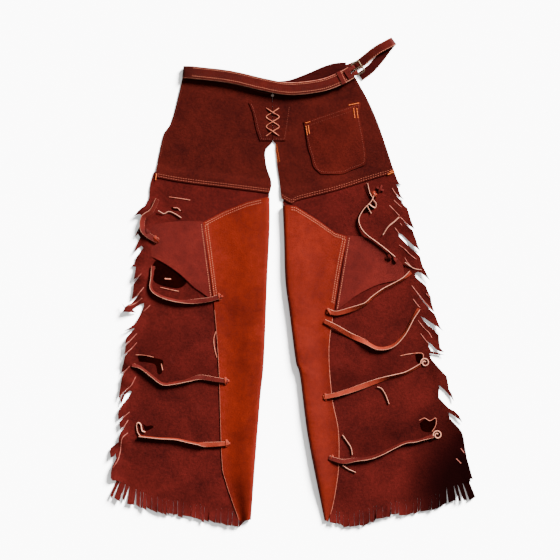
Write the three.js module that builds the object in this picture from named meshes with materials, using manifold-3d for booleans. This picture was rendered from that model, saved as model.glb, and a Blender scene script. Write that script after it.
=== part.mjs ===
// Fringed leather chaps, laid flat and buckled at the waist, with each leg's inner flap folded
// over its panel. Millimetres, +Z up, +Y towards the waist, and the floor at Z = 0 under the middle.
// "left" and "right" are the sides as they lie: left is -X.
import * as THREE from 'three';
import { mergeVertices } from 'three/addons/utils/BufferGeometryUtils.js';
import Module from 'manifold-3d';

const wasm = await Module();
wasm.setup();

// ---- Driving dimensions ------------------------------------------------------------------
const LAID_WIDTH = 826; // over both hems, fringe included
const LAID_LENGTH = 1102; // from the hem to the top of the belt's tail
const GAP = 0.3; // left between pieces that touch

const LEATHER = 2; // hide of the yoke, panels and flaps
const PATCH_LEATHER = 1.6; // softer hide of the pocket and patches
const SEAM_LAP = 12; // yoke over leg panel
const SEAM_RAMP = 14; // length over which the yoke climbs onto that seam
const FOLD_RADIUS = 7; // middle of the hide at the inner leg's fold

const BELT_WIDTH = 27;
const BELT_THICK = 4; // two layers
const BAND_THICK = 3; // waistband sewn to the yoke
const BELT_LIFT = 5.3; // clear height of the waist opening
const TAIL_WIDTH = 22;
const TAIL_THICK = 3;

const BAR = 3; // section of the cast buckle
const BAR_BEVEL = 0.6;
const BUCKLE_LENGTH = 21; // heel bar to far bar, over all
const BUCKLE_PLAY = 1; // strap edge to buckle, each side
const CHAPE_LENGTH = 14;
const CHAPE_THICK = 2.5;
const PRONG_RADIUS = 1.2;
const KEEPER_WIDTH = 10;
const KEEPER_THICK = 2;

const FRINGE_LENGTH = 52;
const FRINGE_PITCH = 30;
const FRINGE_SLIT = 0.2; // part of a pitch that is open at a blade's root
const HEM_SLIT_LENGTH = 36;
const HEM_SLIT_PITCH = 11;
const HEM_SLIT_WIDTH = 1.6;

const TIE_WIDTH = 12;
const TIE_THICK = 2.6;
const THONG_WIDTH = 5;
const THONG_THICK = 2;
const KNOT_RADIUS = 8;
const KNOT_HEIGHT = 4.5;
const COIL_RADIUS = 6;
const LACE_RADIUS = 1.5;
const POCKET_BULGE = 6.5;
const POCKET_MARGIN = 5; // the pocket rises this far before the yoke under it does

// The outlines below are drawn for this laid size, and are graded to the one above.
const PATTERN_WIDTH = 826;
const PATTERN_LENGTH = 1102;
const WIDER = LAID_WIDTH / PATTERN_WIDTH;
const LONGER = LAID_LENGTH / PATTERN_LENGTH;

// ---- Heights that follow from them ---------------------------------------------------------
const ON_PANEL = LEATHER + GAP; // underside of what lies on one layer of hide
const BAND_UNDER = ON_PANEL;
const BELT_UNDER = BAND_UNDER + BAND_THICK + BELT_LIFT;
const BELT_MIDDLE = BELT_UNDER + BELT_THICK / 2;
const FOLD_OUTSIDE = FOLD_RADIUS + LEATHER / 2;
const HINGE_HEIGHT = LEATHER / 2 + FOLD_RADIUS;
const ROLL_ROOM = 0.4; // a tie rolls a little about its own line as it bends
const TIE_ON_PANEL = ON_PANEL + TIE_THICK / 2 + ROLL_ROOM;
const FLAP_CLIMB = FOLD_RADIUS - 5; // the flap still rises under a tie's end
const TIE_ON_FLAP = 2 * ON_PANEL + TIE_THICK / 2 + FLAP_CLIMB;
const TIE_ON_LOBE = 2 * ON_PANEL + TIE_THICK / 2 + ROLL_ROOM;
const THONG_ON_PANEL = ON_PANEL + THONG_THICK / 2 + ROLL_ROOM;

const point = (x, y) => new THREE.Vector2(x * WIDER, y * LONGER);
const points = (list) => list.map(([x, y]) => point(x, y));
const place = (x, y, z) => new THREE.Vector3(x * WIDER, y * LONGER, z);

/** A line through points, straight from each to the next, read by its share of the length. */
function polyline(list) {
  const path = new THREE.CurvePath();
  const corners = points(list);
  for (let i = 1; i < corners.length; i += 1) {
    path.add(new THREE.LineCurve(corners[i - 1], corners[i]));
  }
  return path;
}

const mix = (a, b, share) => a + (b - a) * share;

function smoothstep(low, high, value) {
  const share = Math.min(1, Math.max(0, (value - low) / (high - low)));
  return share * share * (3 - 2 * share);
}

// ---- Solids --------------------------------------------------------------------------------
/** A closed sheet of hide: face(u, v, side) gives a point of its upper (1) or lower (0) face. */
function sheet(columns, rows, face) {
  const positions = [];
  const triangles = [];
  const across = columns + 1;
  const layer = across * (rows + 1);
  for (const side of [1, 0]) {
    for (let row = 0; row <= rows; row += 1) {
      for (let column = 0; column <= columns; column += 1) {
        positions.push(...face(column / columns, row / rows, side));
      }
    }
  }
  const quad = (a, b, c, d) => triangles.push(a, b, c, a, c, d);
  for (let row = 0; row < rows; row += 1) {
    for (let column = 0; column < columns; column += 1) {
      const corner = row * across + column;
      quad(corner, corner + across, corner + across + 1, corner + 1);
      const under = corner + layer;
      quad(under, under + 1, under + across + 1, under + across);
    }
  }
  for (let column = 0; column < columns; column += 1) {
    const last = rows * across + column;
    quad(column, column + 1, column + 1 + layer, column + layer);
    quad(last + 1, last, last + layer, last + 1 + layer);
  }
  for (let row = 0; row < rows; row += 1) {
    const start = row * across;
    const end = start + columns;
    quad(start + across, start, start + layer, start + across + layer);
    quad(end, end + across, end + across + layer, end + layer);
  }
  return outward(positions, triangles);
}

/** Turns a closed mesh's faces outward, whichever way its outline ran. */
function outward(positions, triangles) {
  const corner = (i) => new THREE.Vector3().fromArray(positions, 3 * triangles[i]);
  let volume = 0;
  for (let i = 0; i < triangles.length; i += 3) {
    volume += corner(i).dot(corner(i + 1).cross(corner(i + 2)));
  }
  if (volume < 0) triangles.reverse();
  const geometry = new THREE.BufferGeometry();
  geometry.setAttribute('position', new THREE.Float32BufferAttribute(positions, 3));
  geometry.setIndex(triangles);
  return geometry;
}

/** A flat piece cut from hide: an outline with a thickness, lying at a height. */
function cutPiece(outline, thickness, under) {
  const geometry = new THREE.ExtrudeGeometry(new THREE.Shape(outline), {
    depth: thickness,
    bevelEnabled: false,
  });
  geometry.translate(0, 0, under);
  return geometry;
}

/** A flat strap along a curve, its width kept along the direction that across(share) gives. */
function strap(curve, width, thickness, steps, across) {
  const section = [[-1, -1], [1, -1], [1, 1], [-1, 1]];
  const positions = [];
  const triangles = [];
  for (let step = 0; step <= steps; step += 1) {
    const share = step / steps;
    const centre = curve.getPoint(share);
    const tangent = curve.getTangent(share);
    const side = across(share, tangent).normalize();
    const normal = new THREE.Vector3().crossVectors(side, tangent).normalize();
    for (const [a, b] of section) {
      const corner = centre.clone();
      corner.addScaledVector(side, (a * width) / 2);
      corner.addScaledVector(normal, (b * thickness) / 2);
      positions.push(...corner.toArray());
    }
  }
  for (let step = 0; step < steps; step += 1) {
    for (let k = 0; k < 4; k += 1) {
      const a = 4 * step + k;
      const b = 4 * step + ((k + 1) % 4);
      triangles.push(a, b, b + 4, a, b + 4, a + 4);
    }
  }
  const end = 4 * steps;
  triangles.push(0, 2, 1, 0, 3, 2, end, end + 1, end + 2, end, end + 2, end + 3);
  return outward(positions, triangles);
}

const level = (share, tangent) => new THREE.Vector3(-tangent.y, tangent.x, 0);
const curveThrough = (list) => new THREE.CatmullRomCurve3(list, false, 'centripetal');

/** A loose tie: an eight-sided flat section drawn along its route. */
function tieAlong(route, width, thickness) {
  const curve = curveThrough(route.map(([x, y, z]) => place(x, y, z)));
  const edge = 0.3 * thickness;
  const half = width / 2;
  const high = thickness / 2;
  const section = new THREE.Shape([
    new THREE.Vector2(high, edge - half),
    new THREE.Vector2(high, half - edge),
    new THREE.Vector2(edge, half),
    new THREE.Vector2(-edge, half),
    new THREE.Vector2(-high, half - edge),
    new THREE.Vector2(-high, edge - half),
    new THREE.Vector2(-edge, -half),
    new THREE.Vector2(edge, -half),
  ]);
  const steps = Math.min(40, Math.max(6, Math.round(curve.getLength() / (1.2 * width))));
  return new THREE.ExtrudeGeometry(section, { steps, extrudePath: curve, bevelEnabled: false });
}

/** A ring or puck turned about a vertical line. */
function turned(profile, segments, x, y, z) {
  const geometry = new THREE.LatheGeometry(profile, segments);
  geometry.rotateX(Math.PI / 2);
  geometry.translate(x, y, z);
  return geometry;
}

function solid(geometry) {
  const bare = geometry.clone();
  bare.deleteAttribute('normal');
  bare.deleteAttribute('uv');
  const merged = mergeVertices(bare, 1e-3);
  const vertProperties = new Float32Array(merged.attributes.position.array);
  const triVerts = new Uint32Array(merged.index.array);
  return new wasm.Manifold(new wasm.Mesh({ numProp: 3, vertProperties, triVerts }));
}

function geometryOf(manifold) {
  const mesh = manifold.getMesh();
  const geometry = new THREE.BufferGeometry();
  geometry.setAttribute('position', new THREE.Float32BufferAttribute(mesh.vertProperties, 3));
  geometry.setIndex(Array.from(mesh.triVerts));
  return geometry;
}

const joined = (a, b) => geometryOf(solid(a).add(solid(b)));
const cutFrom = (a, b) => geometryOf(solid(a).subtract(solid(b)));

// ---- Finishes ------------------------------------------------------------------------------
const FINISHES = {
  suede: { color: 0x571610, roughness: 0.95, metalness: 0 },
  pocketSuede: { color: 0x68211a, roughness: 0.95, metalness: 0 },
  panelSuede: { color: 0x651d17, roughness: 0.95, metalness: 0 },
  grain: { color: 0x9c2c16, roughness: 0.55, metalness: 0 },
  lobe: { color: 0x962e1e, roughness: 0.7, metalness: 0 },
  belt: { color: 0x7a2a1c, roughness: 0.5, metalness: 0 },
  band: { color: 0x48140b, roughness: 0.9, metalness: 0 },
  strap: { color: 0x863428, roughness: 0.7, metalness: 0 },
  thong: { color: 0xc98a76, roughness: 0.8, metalness: 0 },
  metal: { color: 0x5a4636, roughness: 0.4, metalness: 0.9 },
};

const chaps = new THREE.Group();

function add(name, geometry, finish, parent = chaps) {
  const mesh = new THREE.Mesh(geometry, new THREE.MeshStandardMaterial(FINISHES[finish]));
  mesh.name = name;
  parent.add(mesh);
  return mesh;
}

// ---- Legs ------------------------------------------------------------------------------------
// Each leg's lines run from the waist down. "out" is the sign of X away from the other leg.
const LEGS = {
  left: {
    out: -1,
    fold: [[-51, 190], [-51, 122], [-56, 18], [-64, -176], [-72, -259], [-84, -410], [-93, -534]],
    freeEdge: [
      [-201, 134], [-180, -18], [-171, -108], [-165, -207], [-159, -394], [-150, -448], [-118, -541],
    ],
    side: [
      [-311, 248], [-321, 207], [-319, 150], [-316, 50], [-325, -40], [-345, -142], [-356, -220],
      [-362, -333], [-382, -423], [-396, -481],
    ],
    hem: [[-396, -481], [-325, -511], [-253, -526], [-174, -542], [-123, -550], [-104, -536]],
    top: [[-61, 210], [-213, 232], [-311, 248]],
    fringeFrom: 0.1,
    slant: [0.5, 1.15],
    lobe: [
      [-201, 136], [-246, 137], [-307, 130], [-321, 115], [-332, 74], [-323, 61], [-289, 43],
      [-253, 18], [-222, -11], [-206, -22], [-179, -42],
    ],
  },
  right: {
    out: 1,
    fold: [[-22, 172], [-19, 99], [-16, 4], [-6, -74], [7, -176], [17, -212], [35, -349], [72, -536]],
    freeEdge: [
      [124, 103], [107, 20], [93, -65], [82, -153], [89, -259], [103, -333], [104, -410], [98, -540],
    ],
    side: [
      [226, 258], [229, 200], [236, 112], [262, 22], [283, -76], [298, -153], [322, -236],
      [342, -297], [366, -360], [387, -430], [398, -484],
    ],
    hem: [[398, -484], [343, -498], [307, -514], [213, -527], [160, -546], [116, -549], [84, -538]],
    top: [[-9, 190], [12, 196], [98, 218], [168, 240], [226, 258]],
    fringeFrom: 0.0,
    slant: [0.75, 1.2],
    lobe: [
      [124, 105], [161, 101], [192, 90], [234, 54], [248, 36], [246, 9], [192, -6], [149, -27],
      [117, -50], [97, -66],
    ],
  },
};

/** Pointed blades cut down a leg's side, each slanting further down towards the hem. */
function fringedSide(leg) {
  const side = polyline(leg.side);
  const length = side.getLength();
  const start = leg.fringeFrom * length;
  const count = Math.floor((length - start) / FRINGE_PITCH);
  const outline = [side.getPointAt(0)];
  for (let i = 0; i < count; i += 1) {
    const from = (start + (i * (length - start)) / count) / length;
    const to = (start + ((i + 1 - FRINGE_SLIT) * (length - start)) / count) / length;
    const down = mix(leg.slant[0], leg.slant[1], i / count);
    const reach = FRINGE_LENGTH * (1 - 0.35 * smoothstep(0.75, 1, i / count));
    const root = side.getPointAt(from);
    const tip = side.getPointAt(to);
    tip.x += leg.out * reach * Math.cos(down);
    tip.y -= reach * Math.sin(down);
    outline.push(root, tip, side.getPointAt(to));
  }
  return outline;
}

/** A hem cut into short strips by narrow slits. */
function slitHem(leg) {
  const hem = polyline(leg.hem);
  const length = hem.getLength();
  const count = Math.floor(length / HEM_SLIT_PITCH) - 1;
  const outline = [];
  for (let i = 1; i < count; i += 1) {
    const middle = (i / count) * length;
    const before = hem.getPointAt((middle - HEM_SLIT_WIDTH / 2) / length);
    const after = hem.getPointAt((middle + HEM_SLIT_WIDTH / 2) / length);
    const head = hem.getPointAt(middle / length);
    head.y += HEM_SLIT_LENGTH;
    outline.push(before, head, after);
  }
  return outline;
}

/** The lower half of the inner leg's fold, rising from the panel to the hinge line. */
function foldLip(leg) {
  const fold = polyline(leg.fold);
  const tuck = 14; // reaches into the flat panel
  return sheet(5, 14, (u, v, side) => {
    const edge = fold.getPointAt(v);
    const radius = FOLD_RADIUS + (side ? -0.5 : 0.5) * LEATHER;
    if (u < 1 / 10) return [edge.x + leg.out * (FOLD_OUTSIDE + tuck), edge.y, side * LEATHER];
    const turn = (Math.PI / 2) * mix(1, GAP / 2 / FOLD_RADIUS, (u - 1 / 5) / (4 / 5));
    const inward = FOLD_OUTSIDE - radius * Math.cos(turn);
    return [edge.x + leg.out * inward, edge.y, HINGE_HEIGHT - radius * Math.sin(turn)];
  });
}

function legPanel(leg) {
  const inner = leg.fold.map(([x, y]) => point(x, y));
  for (const corner of inner) corner.x += leg.out * (FOLD_OUTSIDE + 2);
  const outline = [...points(leg.top.slice(0, -1)), ...fringedSide(leg), ...slitHem(leg)];
  outline.push(...inner.reverse());
  return joined(cutPiece(outline, LEATHER, 0), foldLip(leg));
}

/** The upper half of the fold and the flap that it turns over onto the panel. */
function flapFace(leg) {
  const fold = polyline(leg.fold);
  const freeEdge = polyline(leg.freeEdge);
  const bend = 0.3; // share of the columns that go round the fold
  const low = ON_PANEL + LEATHER / 2;
  const high = HINGE_HEIGHT + FOLD_RADIUS;
  return (u, v, side) => {
    const edge = fold.getPointAt(v);
    const free = freeEdge.getPointAt(v);
    const off = (side - 0.5) * LEATHER;
    if (u < bend) {
      const turn = (Math.PI / 2) * mix(GAP / 2 / FOLD_RADIUS, 1, u / bend);
      const radius = FOLD_RADIUS + off;
      const inward = FOLD_OUTSIDE - radius * Math.cos(turn);
      return [edge.x + leg.out * inward, edge.y, HINGE_HEIGHT + radius * Math.sin(turn)];
    }
    const share = (u - bend) / (1 - bend);
    const start = edge.x + leg.out * FOLD_OUTSIDE;
    const height = mix(low, high, (1 - share ** 2) ** 3);
    return [mix(start, free.x, share), mix(edge.y, free.y, share), height + off];
  };
}

for (const [name, leg] of Object.entries(LEGS)) {
  add(`${name}_leg_panel`, legPanel(leg), 'panelSuede');
  add(`${name}_leg_flap`, sheet(9, 14, flapFace(leg)), 'grain');
  const lobe = points(leg.lobe);
  for (const end of [0, lobe.length - 1]) lobe[end].x += leg.out * 2 * GAP;
  add(`${name}_thigh_lobe`, cutPiece(lobe, LEATHER, ON_PANEL), 'lobe');
}

// ---- Yokes -------------------------------------------------------------------------------------
const YOKES = {
  left: {
    outer: [[-245, 468], [-273, 358], [-289, 333], [-309, 236]],
    inner: [[-46, 437], [-46, 313], [-61, 293], [-58, 259], [-48, 224], [-50, 202]],
  },
  right: {
    outer: [[136, 457], [169, 410], [191, 360], [208, 312], [223, 266], [226, 246]],
    inner: [[-43, 437], [-43, 313], [-36, 259], [-29, 224], [-23, 194], [-6, 181]],
  },
};

const LIFTED = SEAM_LAP + 6; // the yoke clears the panel's top edge before it starts down

/** How far a yoke has climbed onto its leg panel at a point. */
function seamLift(half, at) {
  const [hemOuter, hemInner] = points([half.outer.at(-1), half.inner.at(-1)]);
  const along = (at.x - hemOuter.x) / (hemInner.x - hemOuter.x);
  const above = at.y - mix(hemOuter.y, hemInner.y, along);
  return ON_PANEL * (1 - smoothstep(LIFTED, LIFTED + SEAM_RAMP, above));
}

/** Half of the yoke: flat, and lifted over its lap on the leg panel. */
function yoke(half) {
  const outer = polyline(half.outer);
  const inner = polyline(half.inner);
  return sheet(6, 15, (u, v, side) => {
    const at = outer.getPointAt(v).lerp(inner.getPointAt(v), u);
    return [at.x, at.y, seamLift(half, at) + side * LEATHER];
  });
}

for (const [name, half] of Object.entries(YOKES)) add(`${name}_yoke`, yoke(half), 'suede');

// ---- Front patches and lacing ------------------------------------------------------------------
const PATCHES = {
  left: [[-98, 403], [-89, 380], [-73, 318], [-48, 318], [-48, 403]],
  right: [[-3, 396], [-8, 360], [-15, 318], [-41, 318], [-41, 396]],
};
for (const [name, outline] of Object.entries(PATCHES)) {
  add(`${name}_lacing_patch`, cutPiece(points(outline), PATCH_LEATHER, ON_PANEL), 'pocketSuede');
}
const LACE_REST = ON_PANEL + PATCH_LEATHER + GAP + LACE_RADIUS;
const LACE_OVER = LACE_REST + 2 * LACE_RADIUS + GAP;

/** One leg of the lacing's zigzag; the upper one hops over the lower at each crossing. */
function lace(side, over) {
  const rows = [392, 370, 348, 326];
  const route = [];
  rows.forEach((y, i) => {
    const x = -44.5 + (i % 2 ? -side : side) * 15;
    if (i > 0) route.push(place(-44.5, (y + rows[i - 1]) / 2, over));
    route.push(place(x, y, LACE_REST));
  });
  const section = new THREE.Shape(Array.from({ length: 8 }, (_, i) => (
    new THREE.Vector2(LACE_RADIUS, 0).rotateAround(new THREE.Vector2(), (i * Math.PI) / 4)
  )));
  return new THREE.ExtrudeGeometry(section, {
    steps: 20,
    extrudePath: curveThrough(route),
    bevelEnabled: false,
  });
}
add('lower_lacing_thong', lace(1, LACE_REST), 'thong');
add('upper_lacing_thong', lace(-1, LACE_OVER), 'thong');

// ---- Pocket ---------------------------------------------------------------------------------
const POCKET = {
  left: polyline([[24, 360], [28, 351], [35, 304], [42, 281], [48, 259], [64, 243]]),
  right: polyline([[154, 403], [150, 372], [159, 334], [165, 300], [166, 278], [152, 262]]),
};
add('hip_pocket', sheet(8, 12, (u, v, side) => {
  const at = POCKET.left.getPointAt(v).lerp(POCKET.right.getPointAt(v), u);
  const bulge = POCKET_BULGE * Math.sin(Math.PI * u) ** 0.7 * (1 - v ** 2);
  const towardSeam = new THREE.Vector2(at.x, at.y - POCKET_MARGIN);
  const rest = ON_PANEL + 2 * seamLift(YOKES.right, towardSeam);
  return [at.x, at.y, rest + bulge + side * PATCH_LEATHER];
}), 'pocketSuede');

// ---- Waistband, belt and buckle ---------------------------------------------------------------
const BAND_MIDDLE = BAND_UNDER + BAND_THICK / 2;
const onBand = (list) => curveThrough(list.map(([x, y]) => place(x, y, BAND_MIDDLE)));
const leftBand = onBand([[-46, 438], [-62, 438], [-100, 449], [-150, 461], [-205, 468]]);
const rightBand = onBand([[-43, 438], [-27, 438], [0, 441], [60, 458], [100, 471], [121, 478]]);
add('left_waistband', strap(leftBand, BELT_WIDTH, BAND_THICK, 8, level), 'band');
add('right_waistband', strap(rightBand, BELT_WIDTH, BAND_THICK, 10, level), 'band');

const turnLow = BAND_UNDER + BELT_THICK / 2;
const turnRadius = (BELT_MIDDLE - turnLow) / 2;
const beltEnd = place(131, 470, BELT_MIDDLE);
const beltTurn = Array.from({ length: 7 }, (_, i) => {
  const turn = (Math.PI * i) / 6;
  const from = place(-240, 471.5, turnLow + turnRadius);
  return from.add(new THREE.Vector3(-Math.sin(turn), 0, -Math.cos(turn)).multiplyScalar(turnRadius));
});
const frontRun = curveThrough([
  place(-205, 468, turnLow).add(new THREE.Vector3(-2 * GAP, 0, 0)),
  place(-225, 470.2, turnLow),
  ...beltTurn,
  place(-225, 471, BELT_MIDDLE),
  place(-141, 461, BELT_MIDDLE),
  place(-62, 443, BELT_MIDDLE),
  place(-6, 434, BELT_MIDDLE),
  place(62, 441, BELT_MIDDLE),
  place(105, 456, BELT_MIDDLE),
  beltEnd,
]);
// Level across the run, and along +Y where the strap stands upright at its turn.
const beltAcross = (share, tangent) => (
  level(share, tangent).multiplyScalar(Math.sign(tangent.x)).add(new THREE.Vector3(0, 0.05, 0))
);
add('belt_front_run', strap(frontRun, BELT_WIDTH, BELT_THICK, 44, beltAcross), 'belt');

// The buckle lies in its own frame: +X along the strap, +Z up, its heel bar on the origin.
const buckleTurn = THREE.MathUtils.degToRad(33);
const buckleSpot = new THREE.Group();
const wrapRadius = BELT_THICK / 2 + GAP + CHAPE_THICK / 2;
const barSpot = beltEnd.clone().add(
  new THREE.Vector3(Math.cos(buckleTurn), Math.sin(buckleTurn), 0).multiplyScalar(10),
);
buckleSpot.position.copy(barSpot);
buckleSpot.rotation.z = buckleTurn;
chaps.add(buckleSpot);

const innerHalf = TAIL_WIDTH / 2 + BUCKLE_PLAY;
const rectangle = (low, high, half) => [
  new THREE.Vector2(low, -half),
  new THREE.Vector2(high, -half),
  new THREE.Vector2(high, half),
  new THREE.Vector2(low, half),
];
const flat = BAR - 2 * BAR_BEVEL;
const farSide = BUCKLE_LENGTH - BAR / 2 - BAR_BEVEL;
const frameShape = new THREE.Shape(rectangle(-flat / 2, farSide, innerHalf + BAR_BEVEL + flat));
frameShape.holes.push(new THREE.Path(rectangle(flat / 2, farSide - flat, innerHalf + BAR_BEVEL)));
const frameGeometry = new THREE.ExtrudeGeometry(frameShape, {
  depth: flat,
  bevelThickness: BAR_BEVEL,
  bevelSize: BAR_BEVEL,
  bevelSegments: 1,
});
frameGeometry.translate(0, 0, -flat / 2);
add('buckle_frame', frameGeometry, 'metal', buckleSpot);

const ringMiddle = BAR / 2 + GAP + PRONG_RADIUS + 0.3;
const prongHeight = BAR / 2 + GAP + PRONG_RADIUS;
const prongRing = new THREE.TorusGeometry(ringMiddle, PRONG_RADIUS, 8, 14).rotateX(Math.PI / 2);
const prongRod = new THREE.CylinderGeometry(PRONG_RADIUS, PRONG_RADIUS, BUCKLE_LENGTH, 8);
prongRod.rotateZ(-Math.PI / 2);
prongRod.translate(BUCKLE_LENGTH / 2, 0, prongHeight);
add('buckle_prong', joined(prongRing, prongRod), 'metal', buckleSpot);

// The chape goes round the heel bar, with a slot for the prong, and is sewn over the belt's end.
const chapeWrap = Array.from({ length: 9 }, (_, i) => {
  const turn = Math.PI / 2 - (Math.PI * i) / 8;
  return new THREE.Vector3(wrapRadius * Math.cos(turn), 0, wrapRadius * Math.sin(turn));
});
const chapePath = new THREE.CatmullRomCurve3([
  new THREE.Vector3(-CHAPE_LENGTH - 8, 0, wrapRadius),
  new THREE.Vector3(-CHAPE_LENGTH / 2, 0, wrapRadius),
  ...chapeWrap,
  new THREE.Vector3(-CHAPE_LENGTH / 2, 0, -wrapRadius),
  new THREE.Vector3(-CHAPE_LENGTH - 8, 0, -wrapRadius),
], false, 'centripetal');
const chape = strap(chapePath, TAIL_WIDTH, CHAPE_THICK, 26, () => new THREE.Vector3(0, 1, 0));
const slotHalf = PRONG_RADIUS + 1.4;
const slotBehind = 11.5; // lets the prong swing back past the bar
const slotLong = slotBehind + 3 * wrapRadius;
const chapeSlot = new THREE.BoxGeometry(slotLong, 2 * slotHalf, 4 * wrapRadius);
chapeSlot.translate(slotLong / 2 - slotBehind, 0, 0);
add('buckle_chape', cutFrom(chape, chapeSlot), 'strap', buckleSpot);

// The keeper is a leather band round the belt.
const keeperSpot = new THREE.Group();
keeperSpot.position.copy(frontRun.getPoint(0.922));
const keeperTangent = frontRun.getTangent(0.922);
keeperSpot.rotation.z = Math.atan2(keeperTangent.y, keeperTangent.x);
chaps.add(keeperSpot);
const keeperClear = 0.5;
const keeperHalf = BELT_WIDTH / 2 + keeperClear;
const keeperHigh = BELT_THICK / 2 + keeperClear;
const keeperShape = new THREE.Shape(rectangle(
  -keeperHigh - KEEPER_THICK,
  keeperHigh + KEEPER_THICK,
  keeperHalf + KEEPER_THICK,
));
keeperShape.holes.push(new THREE.Path(rectangle(-keeperHigh, keeperHigh, keeperHalf)));
const keeper = new THREE.ExtrudeGeometry(keeperShape, { depth: KEEPER_WIDTH, bevelEnabled: false });
keeper.rotateY(Math.PI / 2);
keeper.translate(-KEEPER_WIDTH / 2, 0, 0);
add('belt_keeper', keeper, 'strap', keeperSpot);

// The tail carries on from the right waistband, passes under the buckle, loops and comes back.
const tailRest = TAIL_THICK / 2 + GAP;
const tail = curveThrough([
  place(121, 478.2, BAND_MIDDLE).add(new THREE.Vector3(2 * GAP, 0, 0)),
  place(138, 485, 3.9),
  place(152, 492, 5.0),
  place(187, 519, 12),
  place(212, 533, 13.5),
  place(223, 539, 12.4),
  place(227, 541, 8),
  place(223, 537, 3.6),
  place(210, 522, tailRest),
  place(188, 491, tailRest),
  place(163, 470, tailRest),
]);
const tailAcross = (share) => (
  new THREE.Vector3(-0.32, 0.95, 0).lerp(new THREE.Vector3(-0.57, 0.82, 0), smoothstep(0, 0.2, share))
);
add('belt_tail', strap(tail, TAIL_WIDTH, TAIL_THICK, 34, tailAcross), 'belt');

// ---- Ties, thongs and knots --------------------------------------------------------------------
const P = TIE_ON_PANEL;
const F = TIE_ON_FLAP;
const B = TIE_ON_LOBE;
const T = THONG_ON_PANEL;
const TIES = {
  left_tie_1: [
    [-302, 92, B], [-318, 101, B + 0.4], [-336, 118, P + 2], [-335, 144, P + 0.6], [-316, 160, P], [-303, 186, P],
  ],
  left_tie_2: [
    [-160, -32, F], [-190, -40, F], [-230, -44, P + 1], [-262, -42, P], [-296, -32, P], [-317, -16, P],
    [-316, 10, P], [-313, 36, P],
  ],
  left_tie_3: [
    [-145, -223, F], [-172, -219, F], [-208, -214, P + 0.6], [-236, -221, P], [-264, -227, P],
    [-291, -229, P], [-313, -214, P], [-340, -193, P], [-360, -186, P],
  ],
  left_tie_4: [
    [-143, -362, F], [-168, -364, F], [-200, -365, P + 0.6], [-230, -360, P], [-262, -353, P],
    [-298, -351, P], [-345, -346, P],
  ],
  right_tie_1: [
    [184, 200, P], [176, 182, P], [159, 164, P], [148, 142, P], [153, 122, P + 1], [166, 106, B + 0.4],
    [185, 92, B], [206, 76, B], [230, 56, B],
  ],
  right_tie_2_upper: [
    [78, -64, F], [98, -70, F], [130, -62, F - 1], [161, -50, B + 1], [180, -34, B + 1], [205, -16, B + 0.6],
    [232, -2, B + 0.4], [252, 10, B + 0.2], [266, 22, P + 1.4],
  ],
  right_tie_2_lower: [
    [72, -88, F], [98, -101, F], [129, -119, P + 0.6], [160, -133, P], [192, -149, P], [224, -144, P],
    [250, -119, P], [271, -81, P], [284, -60, P],
  ],
  right_tie_3: [
    [70, -259, F], [98, -253, F], [126, -245, P + 0.6], [155, -235, P], [183, -225, P], [222, -212, P],
    [254, -204, P], [288, -186, P],
  ],
  right_tie_4: [
    [82, -394, F + 1.6], [100, -400, F + 1.2], [116, -403, F - 0.4], [142, -399, P + 0.6], [170, -396, P], [197, -387, P], [249, -362, P],
    [278, -357, P], [316, -346, P],
  ],
};
const THONGS = {
  left_wave_thong: [[-302, 160, T + 2.6], [-289, 153, T], [-278, 158, T], [-264, 153, T], [-250, 144, T]],
  right_side_thong: [[240, 146, T], [228, 135, T], [215, 124, T], [203, 106, T]],
  right_tip_thong: [[252, 44, B - 1], [266, 34, T + 1], [276, 29, T], [290, 27, T]],
  right_hook_thong: [[190, -236, T], [200, -240, T], [208, -252, T], [213, -264, T], [217, -274, T]],
  right_arc_thong: [[112, -344, T], [122, -358, T], [130, -370, T], [133, -380, T], [134, -388, T]],
  right_tail_thong: [[112, -412, T], [124, -420, T], [142, -428, T]],
};
for (const [name, route] of Object.entries(TIES)) {
  add(name, tieAlong(route, TIE_WIDTH, TIE_THICK), 'strap');
}
for (const [name, route] of Object.entries(THONGS)) {
  add(name, tieAlong(route, THONG_WIDTH, THONG_THICK), 'thong');
}

/** A knot drawn down on the end of a tie. */
function knot(x, y, tieMiddle) {
  const high = KNOT_HEIGHT;
  const profile = [
    new THREE.Vector2(0, 0),
    new THREE.Vector2(KNOT_RADIUS * 0.8, 0),
    new THREE.Vector2(KNOT_RADIUS, high * 0.45),
    new THREE.Vector2(KNOT_RADIUS * 0.7, high),
    new THREE.Vector2(0, high),
  ];
  const at = place(x, y, tieMiddle + TIE_THICK / 2 + GAP + ROLL_ROOM / 2);
  return turned(profile, 8, at.x, at.y, at.z);
}
const KNOTS = {
  left_knot_1: [-308, 95, B], left_knot_2: [-164, -33, F], left_knot_3: [-150, -222, F],
  left_knot_4: [-148, -362, F], right_knot_1: [182, 196, P], right_knot_2: [83, -66, F],
  right_knot_3: [75, -258, F], right_knot_4: [88, -396, F + 1.6],
};
for (const [name, [x, y, under]] of Object.entries(KNOTS)) add(name, knot(x, y, under), 'strap');

/** A thong's end coiled flat beside the end of its tie. */
function coil(x, y) {
  const ring = new THREE.TorusGeometry(COIL_RADIUS, THONG_THICK, 6, 12);
  const at = place(x, y, ON_PANEL + THONG_THICK);
  return ring.translate(at.x, at.y, at.z);
}
add('right_coil_3', coil(297, -181), 'thong');
add('right_coil_4', coil(325, -343.5), 'thong');

export default chaps;
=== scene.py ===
"""Fringed leather chaps laid flat: the looks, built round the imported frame. Metres, +Z up."""

import logging
import math
import random
from dataclasses import dataclass
from enum import Enum
from functools import lru_cache
from typing import Callable, Sequence

import bmesh
import bpy
import numpy as np
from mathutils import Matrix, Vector, noise
from mathutils.geometry import delaunay_2d_cdt


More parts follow.
